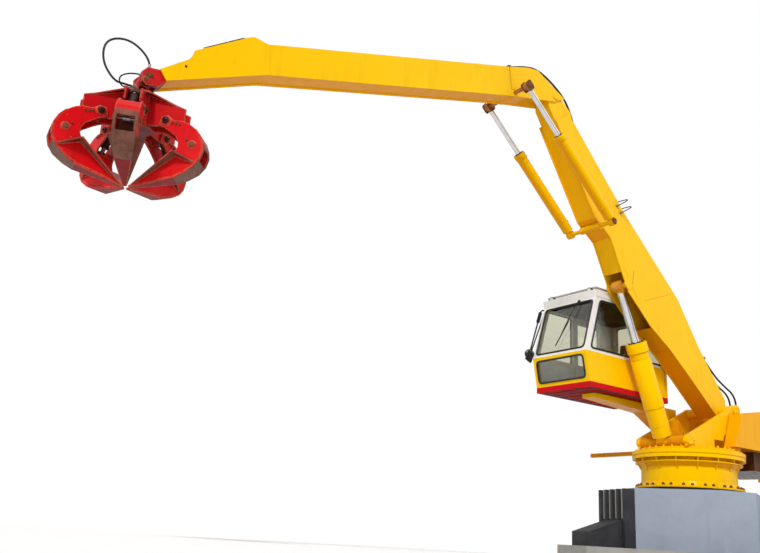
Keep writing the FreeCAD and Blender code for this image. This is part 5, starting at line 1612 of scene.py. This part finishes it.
    def seat(self) -> None:
        """The seat: its moulded base and the two cushions."""
        middle, base = -0.86, 2.887
        level = Axes(Vector((0.67, middle, base)), AHEAD, LEFT)
        frame = Stock("seat_base")
        frame.plate(((-0.17, -0.18), (0.17, -0.18), (0.17, 0.18), (-0.17, 0.18)), level, 0.002, 0.05, 0.01)
        for step in range(7):
            shrink = 0.012 * (step % 2)
            frame.plate(
                (
                    (-0.15 + shrink, -0.16 + shrink), (0.15 - shrink, -0.16 + shrink),
                    (0.15 - shrink, 0.16 - shrink), (-0.15 + shrink, 0.16 - shrink),
                ),
                level, 0.05 + step * 0.034, 0.084 + step * 0.034, 0.006,
            )
        frame.plate(
            ((-0.22, -0.23), (0.24, -0.23), (0.24, 0.23), (-0.22, 0.23)), level, 0.288, 0.332, 0.012
        )
        self.machine.stock(frame, Kind.MOULDED, "upper")
        cushion = self.pillow(
            "seat_cushion", Axes(Vector((0.68, middle, base + 0.386)), AHEAD, LEFT), 0.245, 0.245, 0.118
        )
        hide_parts("operator_seat")
        lean = Vector((-0.1, 0, 0.68)).normalized()
        back = Axes(Vector((0.435, middle, base + 0.74)), lean, LEFT)
        self.pillow("seat_back", back, 0.33, 0.23, 0.105)

    def levers(self) -> None:
        """Pistol grips and gaiters on the two consoles."""
        piece = Stock("console_levers")
        for y in (-0.52, -1.20):
            root = Vector((0.94, y, 2.887 + 0.56))
            piece.turned(
                ((0.045, 0.0), (0.040, 0.02), (0.044, 0.035), (0.032, 0.055), (0.026, 0.075)), root, UP, 20
            )
            piece.turned(
                ((0.026, 0.13), (0.030, 0.16), (0.028, 0.20), (0.018, 0.215), (0.0, 0.218)), root,
                Vector((0.05, 0, 1)).normalized(), 20,
            )
        self.machine.stock(piece, Kind.MOULDED, "upper")

    def door_handle(self) -> None:
        """The door's pull handle with its backplate, and a grab rail in front of the door."""
        out = Vector((0, -1, 0))
        face = Axes(Vector((0, self.far, 0)), AHEAD, UP)
        handle = Stock("door_handle")
        handle.plate(
            ((1.185, 3.30), (1.245, 3.30), (1.245, 3.42), (1.185, 3.42)), face, 0.0005, 0.010, 0.003
        )
        handle.tube(
            [
                Vector((1.215, self.far - 0.01, 3.40)), Vector((1.215, self.far - 0.035, 3.40)),
                Vector((1.205, self.far - 0.036, 3.32)), Vector((1.205, self.far - 0.03, 3.31)),
            ],
            0.008, 10,
        )
        self.machine.stock(handle, Kind.BLACK_STEEL, "cab_door")
        rail = Stock("door_grab_rail")
        x = 1.295
        path = [
            Vector((x, self.far + 0.004, 3.05)), Vector((x, self.far - 0.045, 3.06)),
            Vector((x, self.far - 0.05, 3.09)), Vector((x, self.far - 0.05, 3.36)),
            Vector((x, self.far - 0.045, 3.385)), Vector((x, self.far + 0.004, 3.395)),
        ]
        rail.tube(path, 0.011, 10)
        for z in (3.05, 3.395):
            rail.turned(((0.024, 0.0), (0.024, 0.004), (0.016, 0.007)), Vector((x, self.far, z)), out, 18)
        self.machine.stock(rail, Kind.BLACK_STEEL, "upper")

    def mirror_mount(self) -> None:
        """The mirror's stout arm beside the far corner post, its washer bottle and its round glass."""
        y = self.far - 0.075
        head = Vector((self.chin + 0.02, y, 3.50))
        top = Vector((self.brow + 0.02, y, 4.36))
        arm = Stock("mirror_arm")
        arm.tube(
            [
                Vector((self.brow - 0.04, self.far + 0.01, 4.37)), Vector((self.brow, y + 0.01, 4.375)),
                top.lerp(head, 0.02), top.lerp(head, 0.5), head,
            ],
            0.014, 12,
        )
        way = (head - top).normalized()
        arm.turned(
            ((0.0, 0.0), (0.030, 0.002), (0.033, 0.012), (0.033, 0.20), (0.026, 0.215), (0.0, 0.218)),
            top + way * 0.03, way, 20,
        )
        arm.turned(
            ((0.0, -0.03), (0.05, -0.026), (0.085, -0.006), (0.088, 0.008), (0.080, 0.010)), head,
            Vector((0.55, 0.83, 0.0)).normalized(), 32,
        )
        self.machine.stock(arm, Kind.BLACK_STEEL, "upper", 40)
        glass = Stock("round_mirror_glass")
        glass.turned(
            ((0.080, 0.008), (0.055, 0.015), (0.028, 0.019), (0.0, 0.020)), head,
            Vector((0.55, 0.83, 0.0)).normalized(), 32,
        )
        self.machine.stock(glass, Kind.MIRROR, "upper", 60)

    def footwell(self) -> None:
        """Pale side panels and the pedals in front of the operator's feet."""
        walls = Stock("footwell_panels")
        for y, sign in ((self.far + 0.056, 1), (self.near - 0.056, -1)):
            side = Axes(Vector((0, y, 0)), AHEAD, UP)
            low, high = (-0.006, 0.0) if sign > 0 else (0.0, 0.006)
            walls.plate(((1.30, 2.90), (2.19, 2.90), (2.26, 3.39), (1.30, 3.39)), side, low, high, 0.003)
        self.machine.stock(walls, Kind.PALE_LINING, "upper")
        pedals = Stock("travel_pedals")
        for y in (-0.72, -0.98):
            lean = Axes(Vector((1.86, y, 2.96)), Vector((0.72, 0, 0.69)).normalized(), LEFT)
            pedals.plate(
                ((-0.11, -0.05), (0.13, -0.05), (0.13, 0.05), (-0.11, 0.05)), lean, 0.0, 0.014, 0.004
            )
            for step in range(6):
                x = -0.09 + 0.036 * step
                pedals.plate(
                    ((x, -0.046), (x + 0.014, -0.046), (x + 0.014, 0.046), (x, 0.046)), lean, 0.013, 0.019,
                    0.002,
                )
            pedals.tube([Vector((1.86, y, 2.89)), Vector((1.86, y, 2.96))], 0.012, 10)
        self.machine.stock(pedals, Kind.MOULDED, "upper")

    def service_lines(self) -> None:
        """Hydraulic lines from under the cab back to the turntable's middle."""
        piece = Stock("cab_service_lines")
        for number in range(3):
            y = -0.33 - 0.035 * number
            route = [
                Vector((0.62, y - 0.06, 2.75)), Vector((0.45, y - 0.02, 2.70)), Vector((0.30, y, 2.62)),
                Vector(
                    (0.12, y + 0.03, 2.45)
                ), Vector((0.05, y + 0.06, 2.2)), Vector((0.06, y + 0.12, 1.96)),
            ]
            piece.tube(smooth_line(route, f"service_line_{number}"), 0.014, 10)
        self.machine.stock(piece, Kind.RUBBER, "upper")


@dataclass
class Arm:
    """Boom and stick: paint, weld beads, pipes and hoses."""

    machine: Machine

    def build(self) -> None:
        """Paints the arm and adds its pipes and hoses."""
        nodes = self.machine.frame["nodes"]
        for name, kind in (
            ("boom", Kind.YELLOW), ("stick", Kind.YELLOW), ("stick_tip_fork", Kind.GRAPPLE_RED)
        ):
            self.machine.palette.dress(nodes[name], kind)
        self.boom_seams()
        self.stick_seams()
        self.boom_pipes()
        self.stick_pipes()
        self.tip_pin()
        self.knuckle_hoses()
        self.ram_hoses()
        self.grapple_hoses()

    @staticmethod
    def level(profile: Sequence[tuple[float, float]], along: float) -> float:
        """Returns the height of a plate's edge at a distance along it.

        Args:
            profile: The edge's corners.
            along: Distance along the plate.

        Returns:
            The edge's height there.
        """
        for (start, low), (end, high) in zip(profile, profile[1:]):
            if along <= end:
                return low + (high - low) * (along - start) / (end - start)
        return profile[-1][1]

    def boom_seams(self) -> None:
        """Butt welds across the boom's side plates and belly."""
        boom = self.machine.boom()
        piece = Stock("boom_seams")
        for sign in (-1, 1):
            face = sign * 0.1985
            for start, end in (
                ((2.62, -0.455), (2.30, 0.39)), ((2.75, -0.60), (3.30, -0.52)),
                ((4.30, -0.50), (4.62, 0.12)),
            ):
                piece.bead(boom.at(*start, face), boom.at(*end, face), 0.012)
            piece.bead(boom.at(5.83, -0.24, sign * 0.157), boom.at(5.83, 0.12, sign * 0.157), 0.012)
        piece.bead(boom.at(4.33, -0.548, -0.17), boom.at(4.33, -0.548, 0.17), 0.012)
        piece.bead(boom.at(1.9, -0.507, -0.17), boom.at(1.9, -0.507, 0.17), 0.012)
        self.machine.stock(piece, Kind.YELLOW, "boom", 60)
        joint = Stock("boom_head_joints")
        for sign in (-1, 1):
            joint.bead(boom.at(5.955, 0.075, sign * 0.157), boom.at(6.05, -0.125, sign * 0.157), 0.006)
            joint.bead(boom.at(2.98, -0.55, sign * 0.1985), boom.at(3.16, -0.33, sign * 0.1985), 0.007)
        self.machine.stock(joint, Kind.RUST, "boom", 60)

    def stick_seams(self) -> None:
        """The doubler band near the knuckle and the butt weld near the tip."""
        stick = self.machine.stick()
        piece = Stock("stick_seams")
        for sign in (-1, 1):
            face = sign * 0.1782
            low, high = sorted((face - 0.002 * sign, face + 0.008 * sign))
            piece.plate(
                ((0.989, 0.055), (1.049, 0.055), (0.985, 0.452), (0.925, 0.452)), stick, low, high, 0.002
            )
            piece.bead(stick.at(5.62, -0.05, face), stick.at(5.54, 0.37, face), 0.010)
        piece.bead(stick.at(1.9, -0.040, -0.15), stick.at(1.9, -0.040, 0.15), 0.010)
        self.machine.stock(piece, Kind.YELLOW, "stick", 60)
        joint = Stock("stick_band_joints")
        for sign in (-1, 1):
            face = sign * 0.1785
            for low, high in (((0.996, 0.055), (0.932, 0.450)), ((1.064, 0.055), (1.000, 0.450))):
                joint.bead(stick.at(*low, face), stick.at(*high, face), 0.007)
        self.machine.stock(joint, Kind.RUST, "stick", 60)

    def boom_pipes(self) -> None:
        """Three steel pipes along the boom's back, in saddle clamps."""
        boom = self.machine.boom()
        back = ((0.06, 0.285), (1.2257, 0.310), (2.148, 0.410), (4.077, 0.181), (5.971, 0.085))
        pipes = Stock("boom_pipes")
        for number in range(3):
            start, end = 0.09 - 0.12 * number, 0.07 - 0.07 * number
            stations = (
                (0.955, 0.338, start), (1.25, 0.340, start), (1.6, 0.378, end), (2.148, 0.432, end),
                (4.077, 0.205, end), (5.485, 0.136, end),
            )
            pipes.tube([boom.at(*station) for station in stations], 0.0125, 10)
        self.machine.stock(pipes, Kind.BLACK_STEEL, "boom")
        clamps = Stock("boom_pipe_clamps")
        for along in (1.8, 2.45, 3.05, 3.65, 4.6, 5.1):
            rise = self.level(back, along) - 0.02
            clamps.plate(
                (
                    (along - 0.02, rise - 0.004), (along + 0.02, rise - 0.004),
                    (along + 0.02, rise + 0.062), (along - 0.02, rise + 0.062),
                ),
                boom, -0.105, 0.105, 0.003,
            )
            for y in (-0.035, 0.035):
                clamps.bolt(boom.at(along, rise + 0.062, y), boom.across, 0.016)
        self.machine.stock(clamps, Kind.ZINC, "boom")

    def stick_pipes(self) -> None:
        """Two steel pipes along the stick's top, to a bulkhead near its tip."""
        stick = self.machine.stick()
        top = (
            (0.551, 0.478), (1.05, 0.454), (5.567, 0.374), (5.745, 0.455), (5.828, 0.446), (6.637, 0.184)
        )
        pipes = Stock("stick_pipes")
        for y in (-0.06, 0.06):
            stations = (
                (0.915, 0.498), (1.3, 0.466), (5.45, 0.392), (5.58, 0.42), (5.74, 0.482), (5.86, 0.474),
                (6.45, 0.282),
            )
            pipes.tube([stick.at(along, rise, y) for along, rise in stations], 0.0125, 10)
        self.machine.stock(pipes, Kind.BLACK_STEEL, "stick")
        clamps = Stock("stick_pipe_clamps")
        for along in (1.5, 2.2, 2.9, 3.6, 4.3, 5.0, 6.1, 6.44):
            rise = self.level(top, along) - 0.02
            clamps.plate(
                (
                    (along - 0.018, rise - 0.004), (along + 0.018, rise - 0.004),
                    (along + 0.018, rise + 0.056), (along - 0.018, rise + 0.056),
                ),
                stick, -0.09, 0.09, 0.003,
            )
            clamps.bolt(stick.at(along, rise + 0.056, 0), stick.across, 0.016)
        self.machine.stock(clamps, Kind.ZINC, "stick")

    def tip_pin(self) -> None:
        """Heads and keeper bolts of the pin that hangs the grapple."""
        top = self.machine.joint("grapple_pitch")
        for word, sign in (("left", 1), ("right", -1)):
            piece = Stock(f"tip_pin_{word}")
            at = Vector((top.x, sign * 0.1652, top.z))
            piece.turned(
                ((0.03, 0.0), (0.03, 0.008), (0.026, 0.012), (0.0, 0.013)), at, Vector((0, sign, 0)), 20
            )
            side = Axes(Vector((top.x, sign * 0.1502, top.z)), AHEAD, UP)
            low, high = (-0.010, 0.0) if sign > 0 else (0.0, 0.010)
            piece.plate(
                ((-0.075, 0.042), (0.02, 0.042), (0.02, 0.085), (-0.075, 0.085)), side, low, high, 0.002
            )
            for x in (-0.058, 0.002):
                piece.bolt(side.at(x, 0.064, -0.010 * sign), Vector((0, sign, 0)), 0.02)
            self.machine.stock(piece, Kind.RUST, "stick")

    def knuckle_hoses(self) -> None:
        """Three hoses over the knuckle, with a clamp on each side of it."""
        boom, stick = self.machine.boom(), self.machine.stick()
        for number in range(3):
            y = -0.07 + 0.07 * number
            route = [boom.at(5.515, 0.136, -y)]
            shape = (
                (-0.455, -0.5), (-0.405, -0.06), (-0.172, 0.246), (0.16, 0.508), (0.5, 0.548), (0.89, 0.498)
            )
            route += [stick.at(x, t, -y) for x, t in shape]
            piece = Stock(f"knuckle_hose_{number}")
            piece.tube(smooth_line(route, f"knuckle_line_{number}"), 0.017, 14)
            hose = self.machine.stock(piece, Kind.RUBBER, None)
            tuple(boom.at(5.6, 0.136, -y))
            tuple(stick.at(0.3, 0.48, -y))
            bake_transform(hose)
            if number == 0:
                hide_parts("knuckle_hoses")
        for name, axes, low, high, base, body in (
            ("boom", boom, 5.48, 5.55, 0.0902, "boom"),
            ("stick", stick, 0.85, 0.92, 0.4439, "stick"),
        ):
            clamp = Stock(f"knuckle_clamp_{name}")
            top = 0.156 if name == "boom" else 0.518
            for start, end in ((base, top - 0.04), (top, top + 0.01)):
                clamp.plate(((low, start), (high, start), (high, end), (low, end)), axes, -0.1, 0.1, 0.003)
            for y in (-0.035, 0.035):
                clamp.bolt(axes.at((low + high) / 2, top + 0.01, y), axes.across, 0.019)
            self.machine.stock(clamp, Kind.ZINC, body)

    def ram_hoses(self) -> None:
        """Two slim hoses that loop over the boom's back."""
        boom = self.machine.boom()
        half = 0.198
        for number, along in enumerate((4.25, 4.11)):
            shape = ((0.09, 0.024), (0.15, 0.132), (0.275, 0.15), (0.332, -0.018), (0.352, -half))
            route = [boom.at(along, up, -(half + out)) for up, out in shape]
            route += [boom.at(along, up, half + out) for up, out in reversed(shape[:-1])]
            piece = Stock(f"ram_hose_{number}")
            piece.tube(smooth_line(route, f"ram_line_{number}"), 0.009, 12)
            hose = self.machine.stock(piece, Kind.RUBBER, "boom")
            if number == 0:
                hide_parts("ram_hoses")
            for word, sign in (("left", -1), ("right", 1)):
                port = Stock(f"ram_port_{number}_{word}")
                at = boom.at(along, 0.08, sign * half)
                port.turned(
                    ((0.026, 0.0), (0.026, 0.012), (0.018, 0.014), (0.018, 0.04), (0.0, 0.042)), at,
                    boom.out * sign, 6,
                )
                port.turned(
                    ((0.013, 0.0), (0.013, 0.03), (0.011, 0.032)),
                    boom.at(along, 0.08, sign * (half + 0.024)), boom.across, 6,
                )
                self.machine.stock(port, Kind.ZINC, "boom")

    def grapple_hoses(self) -> None:
        """The long loop and the short hose at the stick's tip."""
        top = self.machine.joint("grapple_pitch")
        loop = (
            (-20, 125, 162.3), (-20, 125, 280), (250, 100, 462), (520, 80, 360), (520, 65, 80),
            (340, 48, -118),
        )
        loop += ((190, 38, -98), (75.8, 38, -98))
        short = (
            (61.6, 125, 35), (150, 125, 35), (310, 90, -50), (255, 60, -160), (160, 50, -130),
            (75.8, 50, -130),
        )
        for name, spots, radius in (("swivel_loop", loop, 0.013), ("swivel_short", short, 0.009)):
            route = [top + Vector(spot) / 1000 for spot in spots]
            piece = Stock(name)
            piece.tube(smooth_line(route, f"{name}_line"), radius, 14)
            hose = self.machine.stock(piece, Kind.RUBBER, None)
            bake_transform(hose)
            if name == "swivel_loop":
                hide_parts("grapple_hoses")
            for word, at, way, body in (
                ("start", route[0], (route[1] - route[0]).normalized(), "stick"),
                ("end", route[-1], (route[-2] - route[-1]).normalized(), "hanger"),
            ):
                fitting = Stock(f"{name}_{word}_end")
                fitting.turned(
                    (
                        (radius * 1.5, -0.008), (radius * 1.5, 0.016), (radius * 1.25, 0.018),
                        (radius * 1.2, 0.05), (radius * 1.02, 0.052),
                    ),
                    at, way, 18,
                )
                self.machine.stock(fitting, Kind.ZINC, body)


@dataclass
class Rams:
    """The hydraulic rams: barrels, chromed rods, glands and pipes."""

    machine: Machine

    def build(self) -> None:
        """Paints the rams and adds their glands and ports."""
        self.machine.paint(
            {
                "lift_barrel": Kind.YELLOW,
                "stick_left_barrel": Kind.YELLOW,
                "stick_right_barrel": Kind.YELLOW,
                "lift_rod": Kind.CHROME,
                "stick_left_rod": Kind.ARM_CHROME,
                "stick_right_rod": Kind.ARM_CHROME,
            }
        )
        boom, stick = self.machine.boom(), self.machine.stick()
        foot = self.machine.joint("lift_barrel_pivot")
        eye = boom.at(3.046, -0.63)
        self.barrel_details("lift", foot, eye, 0.165, 0.072, 1.745, (0.29, 0.59, 1.47), 0.33)
        for word, sign in (("left", 1), ("right", -1)):
            shift = Vector((0, 0.459 * sign, 0))
            foot, eye = boom.at(4.184, -0.585) + shift, stick.at(0.994, 0.0) + shift
            self.barrel_details(f"stick_{word}", foot, eye, 0.09, 0.042, 1.728, (0.30, 1.55), 0.22)
            self.foot_clevis(word, sign, foot)
            self.rod_clevis(word, sign, eye, (foot - eye).normalized())

    def barrel_details(
        self, name: str, foot: Vector, eye: Vector, radius: float, rod: float, length: float,
        welds: Sequence[float], port: float
    ) -> None:
        """Adds a ram's welds, gland, wiper and ports.

        Args:
            name: The ram's name.
            foot: Where its foot pin is.
            eye: Where its rod's pin is.
            radius: The barrel's outside radius.
            rod: The rod's radius.
            length: Distance from the foot pin to the gland's face.
            welds: Distances of the welds round the barrel.
            port: Distance of the foot port.
        """
        way = (eye - foot).normalized()
        side = LEFT.cross(way).normalized()
        rings = Stock(f"{name}_barrel_welds")
        for at in welds:
            loop = []
            for step in range(48):
                angle = 2 * math.pi * step / 48
                loop.append(
                    foot + way * at + (side * math.cos(angle) + LEFT * math.sin(angle)) * (radius + 0.001)
                )
            rings.tube(loop, 0.005, 6, ring=True)
        face = foot + way * length
        rings.turned(
            (
                (
                    radius + 0.001, -radius - 0.016
                ), (radius * 1.12, -radius), (radius * 1.12, -0.006), (radius * 1.10, 0.003),
                (rod + 0.012, 0.003),
            ),
            face, way, 48,
        )
        if name == "lift":
            rings.turned(
                ((radius, 0.59), (radius + 0.010, 0.602), (radius + 0.010, 1.44), (radius, 1.46)), foot,
                way, 64,
            )
        self.machine.stock(rings, Kind.YELLOW, f"{name}_barrel", 35)
        gland = Stock(f"{name}_gland")
        gland.turned(
            (
                (rod + 0.003, 0.0), (rod + 0.022, 0.0), (rod + 0.022, 0.010), (rod + 0.012, 0.016),
                (rod + 0.003, 0.016),
            ),
            face, way, 32,
        )
        for step in range(8):
            angle = 2 * math.pi * (step + 0.5) / 8
            at = face + (side * math.cos(angle) + LEFT * math.sin(angle)) * (rod + radius) / 2 + way * 0.002
            if radius > 0.1:
                gland.bolt(at, way, 0.024, step)
        self.machine.stock(gland, Kind.BLACK_STEEL, f"{name}_barrel")
        ports = Stock(f"{name}_ports")
        pipe = []
        for at in (port, length - 0.12):
            root = foot + way * at - side * (radius - 0.004)
            ports.turned(((0.026, 0.0), (0.026, 0.028), (0.020, 0.032), (0.020, 0.05)), root, -side, 6)
            pipe.append(root - side * 0.04)
        ports.tube(
            [pipe[0], pipe[0] + way * 0.08 + side * 0.008, pipe[1] - way * 0.08 + side * 0.008, pipe[1]],
            0.009, 8,
        )
        self.machine.stock(ports, Kind.ZINC, f"{name}_barrel")

    def foot_clevis(self, word: str, sign: int, foot: Vector) -> None:
        """The cap and washer at the end of a stick ram's foot pin.

        Args:
            word: Which side.
            sign: 1 on the left and -1 on the right.
            foot: Where the foot pin is.
        """
        piece = Stock(f"stick_foot_cap_{word}")
        base = Vector((foot.x, sign * 0.5045, foot.z))
        piece.turned(
            ((0.036, 0.0), (0.056, 0.001), (0.056, 0.010), (0.050, 0.014), (0.0, 0.015)), base,
            Vector((0, sign, 0)), 24,
        )
        for step in range(3):
            angle = 2 * math.pi * step / 3
            piece.bolt(
                base + Vector((math.cos(angle) * 0.034, sign * 0.012, math.sin(angle) * 0.034)),
                Vector((0, sign, 0)), 0.018, step,
            )
        self.machine.stock(piece, Kind.RUST, "boom")

    def rod_clevis(self, word: str, sign: int, eye: Vector, down: Vector) -> None:
        """The strap and keeper plates round a stick ram's rod eye.

        Args:
            word: Which side.
            sign: 1 on the left and -1 on the right.
            eye: Where the rod's pin is.
            down: Direction from the eye to the barrel.
        """
        piece = Stock(f"rod_eye_keeper_{word}")
        across = LEFT.cross(down).normalized()
        axes = Axes(Vector((eye.x, 0, eye.z)), down, across)
        flip = 1 if axes.out.y > 0 else -1
        for near, far in ((0.5095, 0.5235), (0.3945, 0.4085)):
            low, high = sorted((flip * sign * near, flip * sign * far))
            piece.plate(
                (
                    (-0.078, -0.05), (-0.05, -0.074), (0.05, -0.074), (0.088, -0.048), (0.088, 0.048),
                    (0.05, 0.074), (-0.05, 0.074), (-0.078, 0.05),
                ),
                axes, low, high, 0.003,
            )
        end = Vector((eye.x, sign * 0.5235, eye.z))
        piece.turned(
            ((0.045, 0.0), (0.045, 0.010), (0.038, 0.015), (0.0, 0.016)), end, Vector((0, sign, 0)), 20
        )
        self.machine.stock(piece, Kind.RUST, f"stick_{word}_rod")


@dataclass
class Grapple:
    """The hanging joint, the rotator and the five-tined grapple."""

    machine: Machine
    tines: int = 5
    first: float = -5.0

    def build(self) -> None:
        """Paints the grapple and adds its pins and fixings."""
        nodes = self.machine.frame["nodes"]
        for name, kind in (
            ("hanger_link", Kind.GRAPPLE_RED), ("grapple_rotator", Kind.BLACK_STEEL),
            ("grapple_hub", Kind.GRAPPLE_RED),
        ):
            self.machine.palette.dress(nodes[name], kind)
        for number in range(1, self.tines + 1):
            self.machine.palette.dress(nodes[f"grapple_tine_{number}"], Kind.TINE)
            self.machine.palette.dress(nodes[f"tine_{number}_barrel"], Kind.RAM_DARK)
            self.machine.palette.dress(nodes[f"tine_{number}_rod"], Kind.ZINC)
            self.tine_pins(number)
            self.tine_ram(number)
        self.rotator_bolts()

    def radial(self, number: int) -> Axes:
        """Returns a tine's axes: outwards from the grapple's middle, and up."""
        top = self.machine.joint("grapple_pitch")
        angle = math.radians(self.first + 360 / self.tines * (number - 1))
        return Axes(Vector((top.x, 0, top.z)), Vector((math.cos(angle), math.sin(angle), 0)), UP)

    def tine_pins(self, number: int) -> None:
        """Pin heads, keepers and bolts on both cheeks of a tine.

        Args:
            number: The tine, from 1.
        """
        axes = self.radial(number)
        worn = Stock(f"tine_pins_{number}")
        for sign in (-1, 1):
            way = axes.out * sign
            eye = axes.at(0.767, -0.858, sign * 0.1385)
            worn.turned(((0.036, 0.0), (0.036, 0.010), (0.030, 0.014), (0.0, 0.015)), eye, way, 6, 0.4)
            worn.bolt(axes.at(0.70, -0.80, sign * 0.125), way, 0.022, 0.2)
            for x, z in ((0.505, -0.583), (0.548, -0.590), (0.591, -0.600)):
                worn.bolt(axes.at(x, z, sign * 0.125), way, 0.024, x * 9)
        self.machine.stock(worn, Kind.RUST, f"tine_{number}")
        pivots = Stock(f"pivot_caps_{number}")
        for sign in (-1, 1):
            way = axes.out * sign
            pivots.turned(
                ((0.040, 0.0), (0.040, 0.012), (0.034, 0.016), (0.0, 0.017)),
                axes.at(0.42, -0.555, sign * 0.1432), way, 20,
            )
            pivots.bolt(axes.at(0.42, -0.555, sign * 0.158), way, 0.026, 0.5)
        self.machine.stock(pivots, Kind.RAM_DARK, "grapple")

    def tine_ram(self, number: int) -> None:
        """The gland and hose elbows of a tine's ram.

        Args:
            number: The tine, from 1.
        """
        axes = self.radial(number)
        foot, eye = axes.at(0.42, -0.36), axes.at(0.767, -0.858)
        way = (eye - foot).normalized()
        side = axes.out.cross(way).normalized()
        piece = Stock(f"tine_gland_{number}")
        face = foot + way * 0.380
        piece.turned(
            ((0.029, -0.006), (0.0535, -0.006), (0.0535, 0.004), (0.046, 0.010), (0.029, 0.010)), face, way,
            28,
        )
        for at in (0.10, 0.335):
            root = foot + way * at + side * 0.045
            piece.turned(((0.014, 0.0), (0.014, 0.014), (0.010, 0.016)), root, side, 6)
        self.machine.stock(piece, Kind.ZINC, f"tine_{number}_barrel")

    def rotator_bolts(self) -> None:
        """Bolts round the rotator's plate."""
        top = self.machine.joint("grapple_pitch")
        piece = Stock("rotator_bolts")
        for step in range(12):
            angle = 2 * math.pi * step / 12
            at = Vector((top.x + math.cos(angle) * 0.114, math.sin(angle) * 0.114, top.z - 0.1717))
            piece.bolt(at, UP, 0.014, step)
        self.machine.stock(piece, Kind.ZINC, "rotator")


def main() -> None:
    """Builds the studio and the machine in order."""
    logging.basicConfig(level=logging.INFO, format="%(message)s")
    bpy.context.scene.view_settings.view_transform = "Standard"
    for item in list(bpy.data.objects):
        bpy.data.objects.remove(item)
    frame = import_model()
    machine = Machine(frame)
    Studio().build()
    for assembly in (
        Pedestal(machine), Upper(machine), Cab(machine), Arm(machine), Rams(machine), Grapple(machine)
    ):
        assembly.build()
        LOG.info("built %s", type(assembly).__name__)


if __name__ == "__main__":
    main()
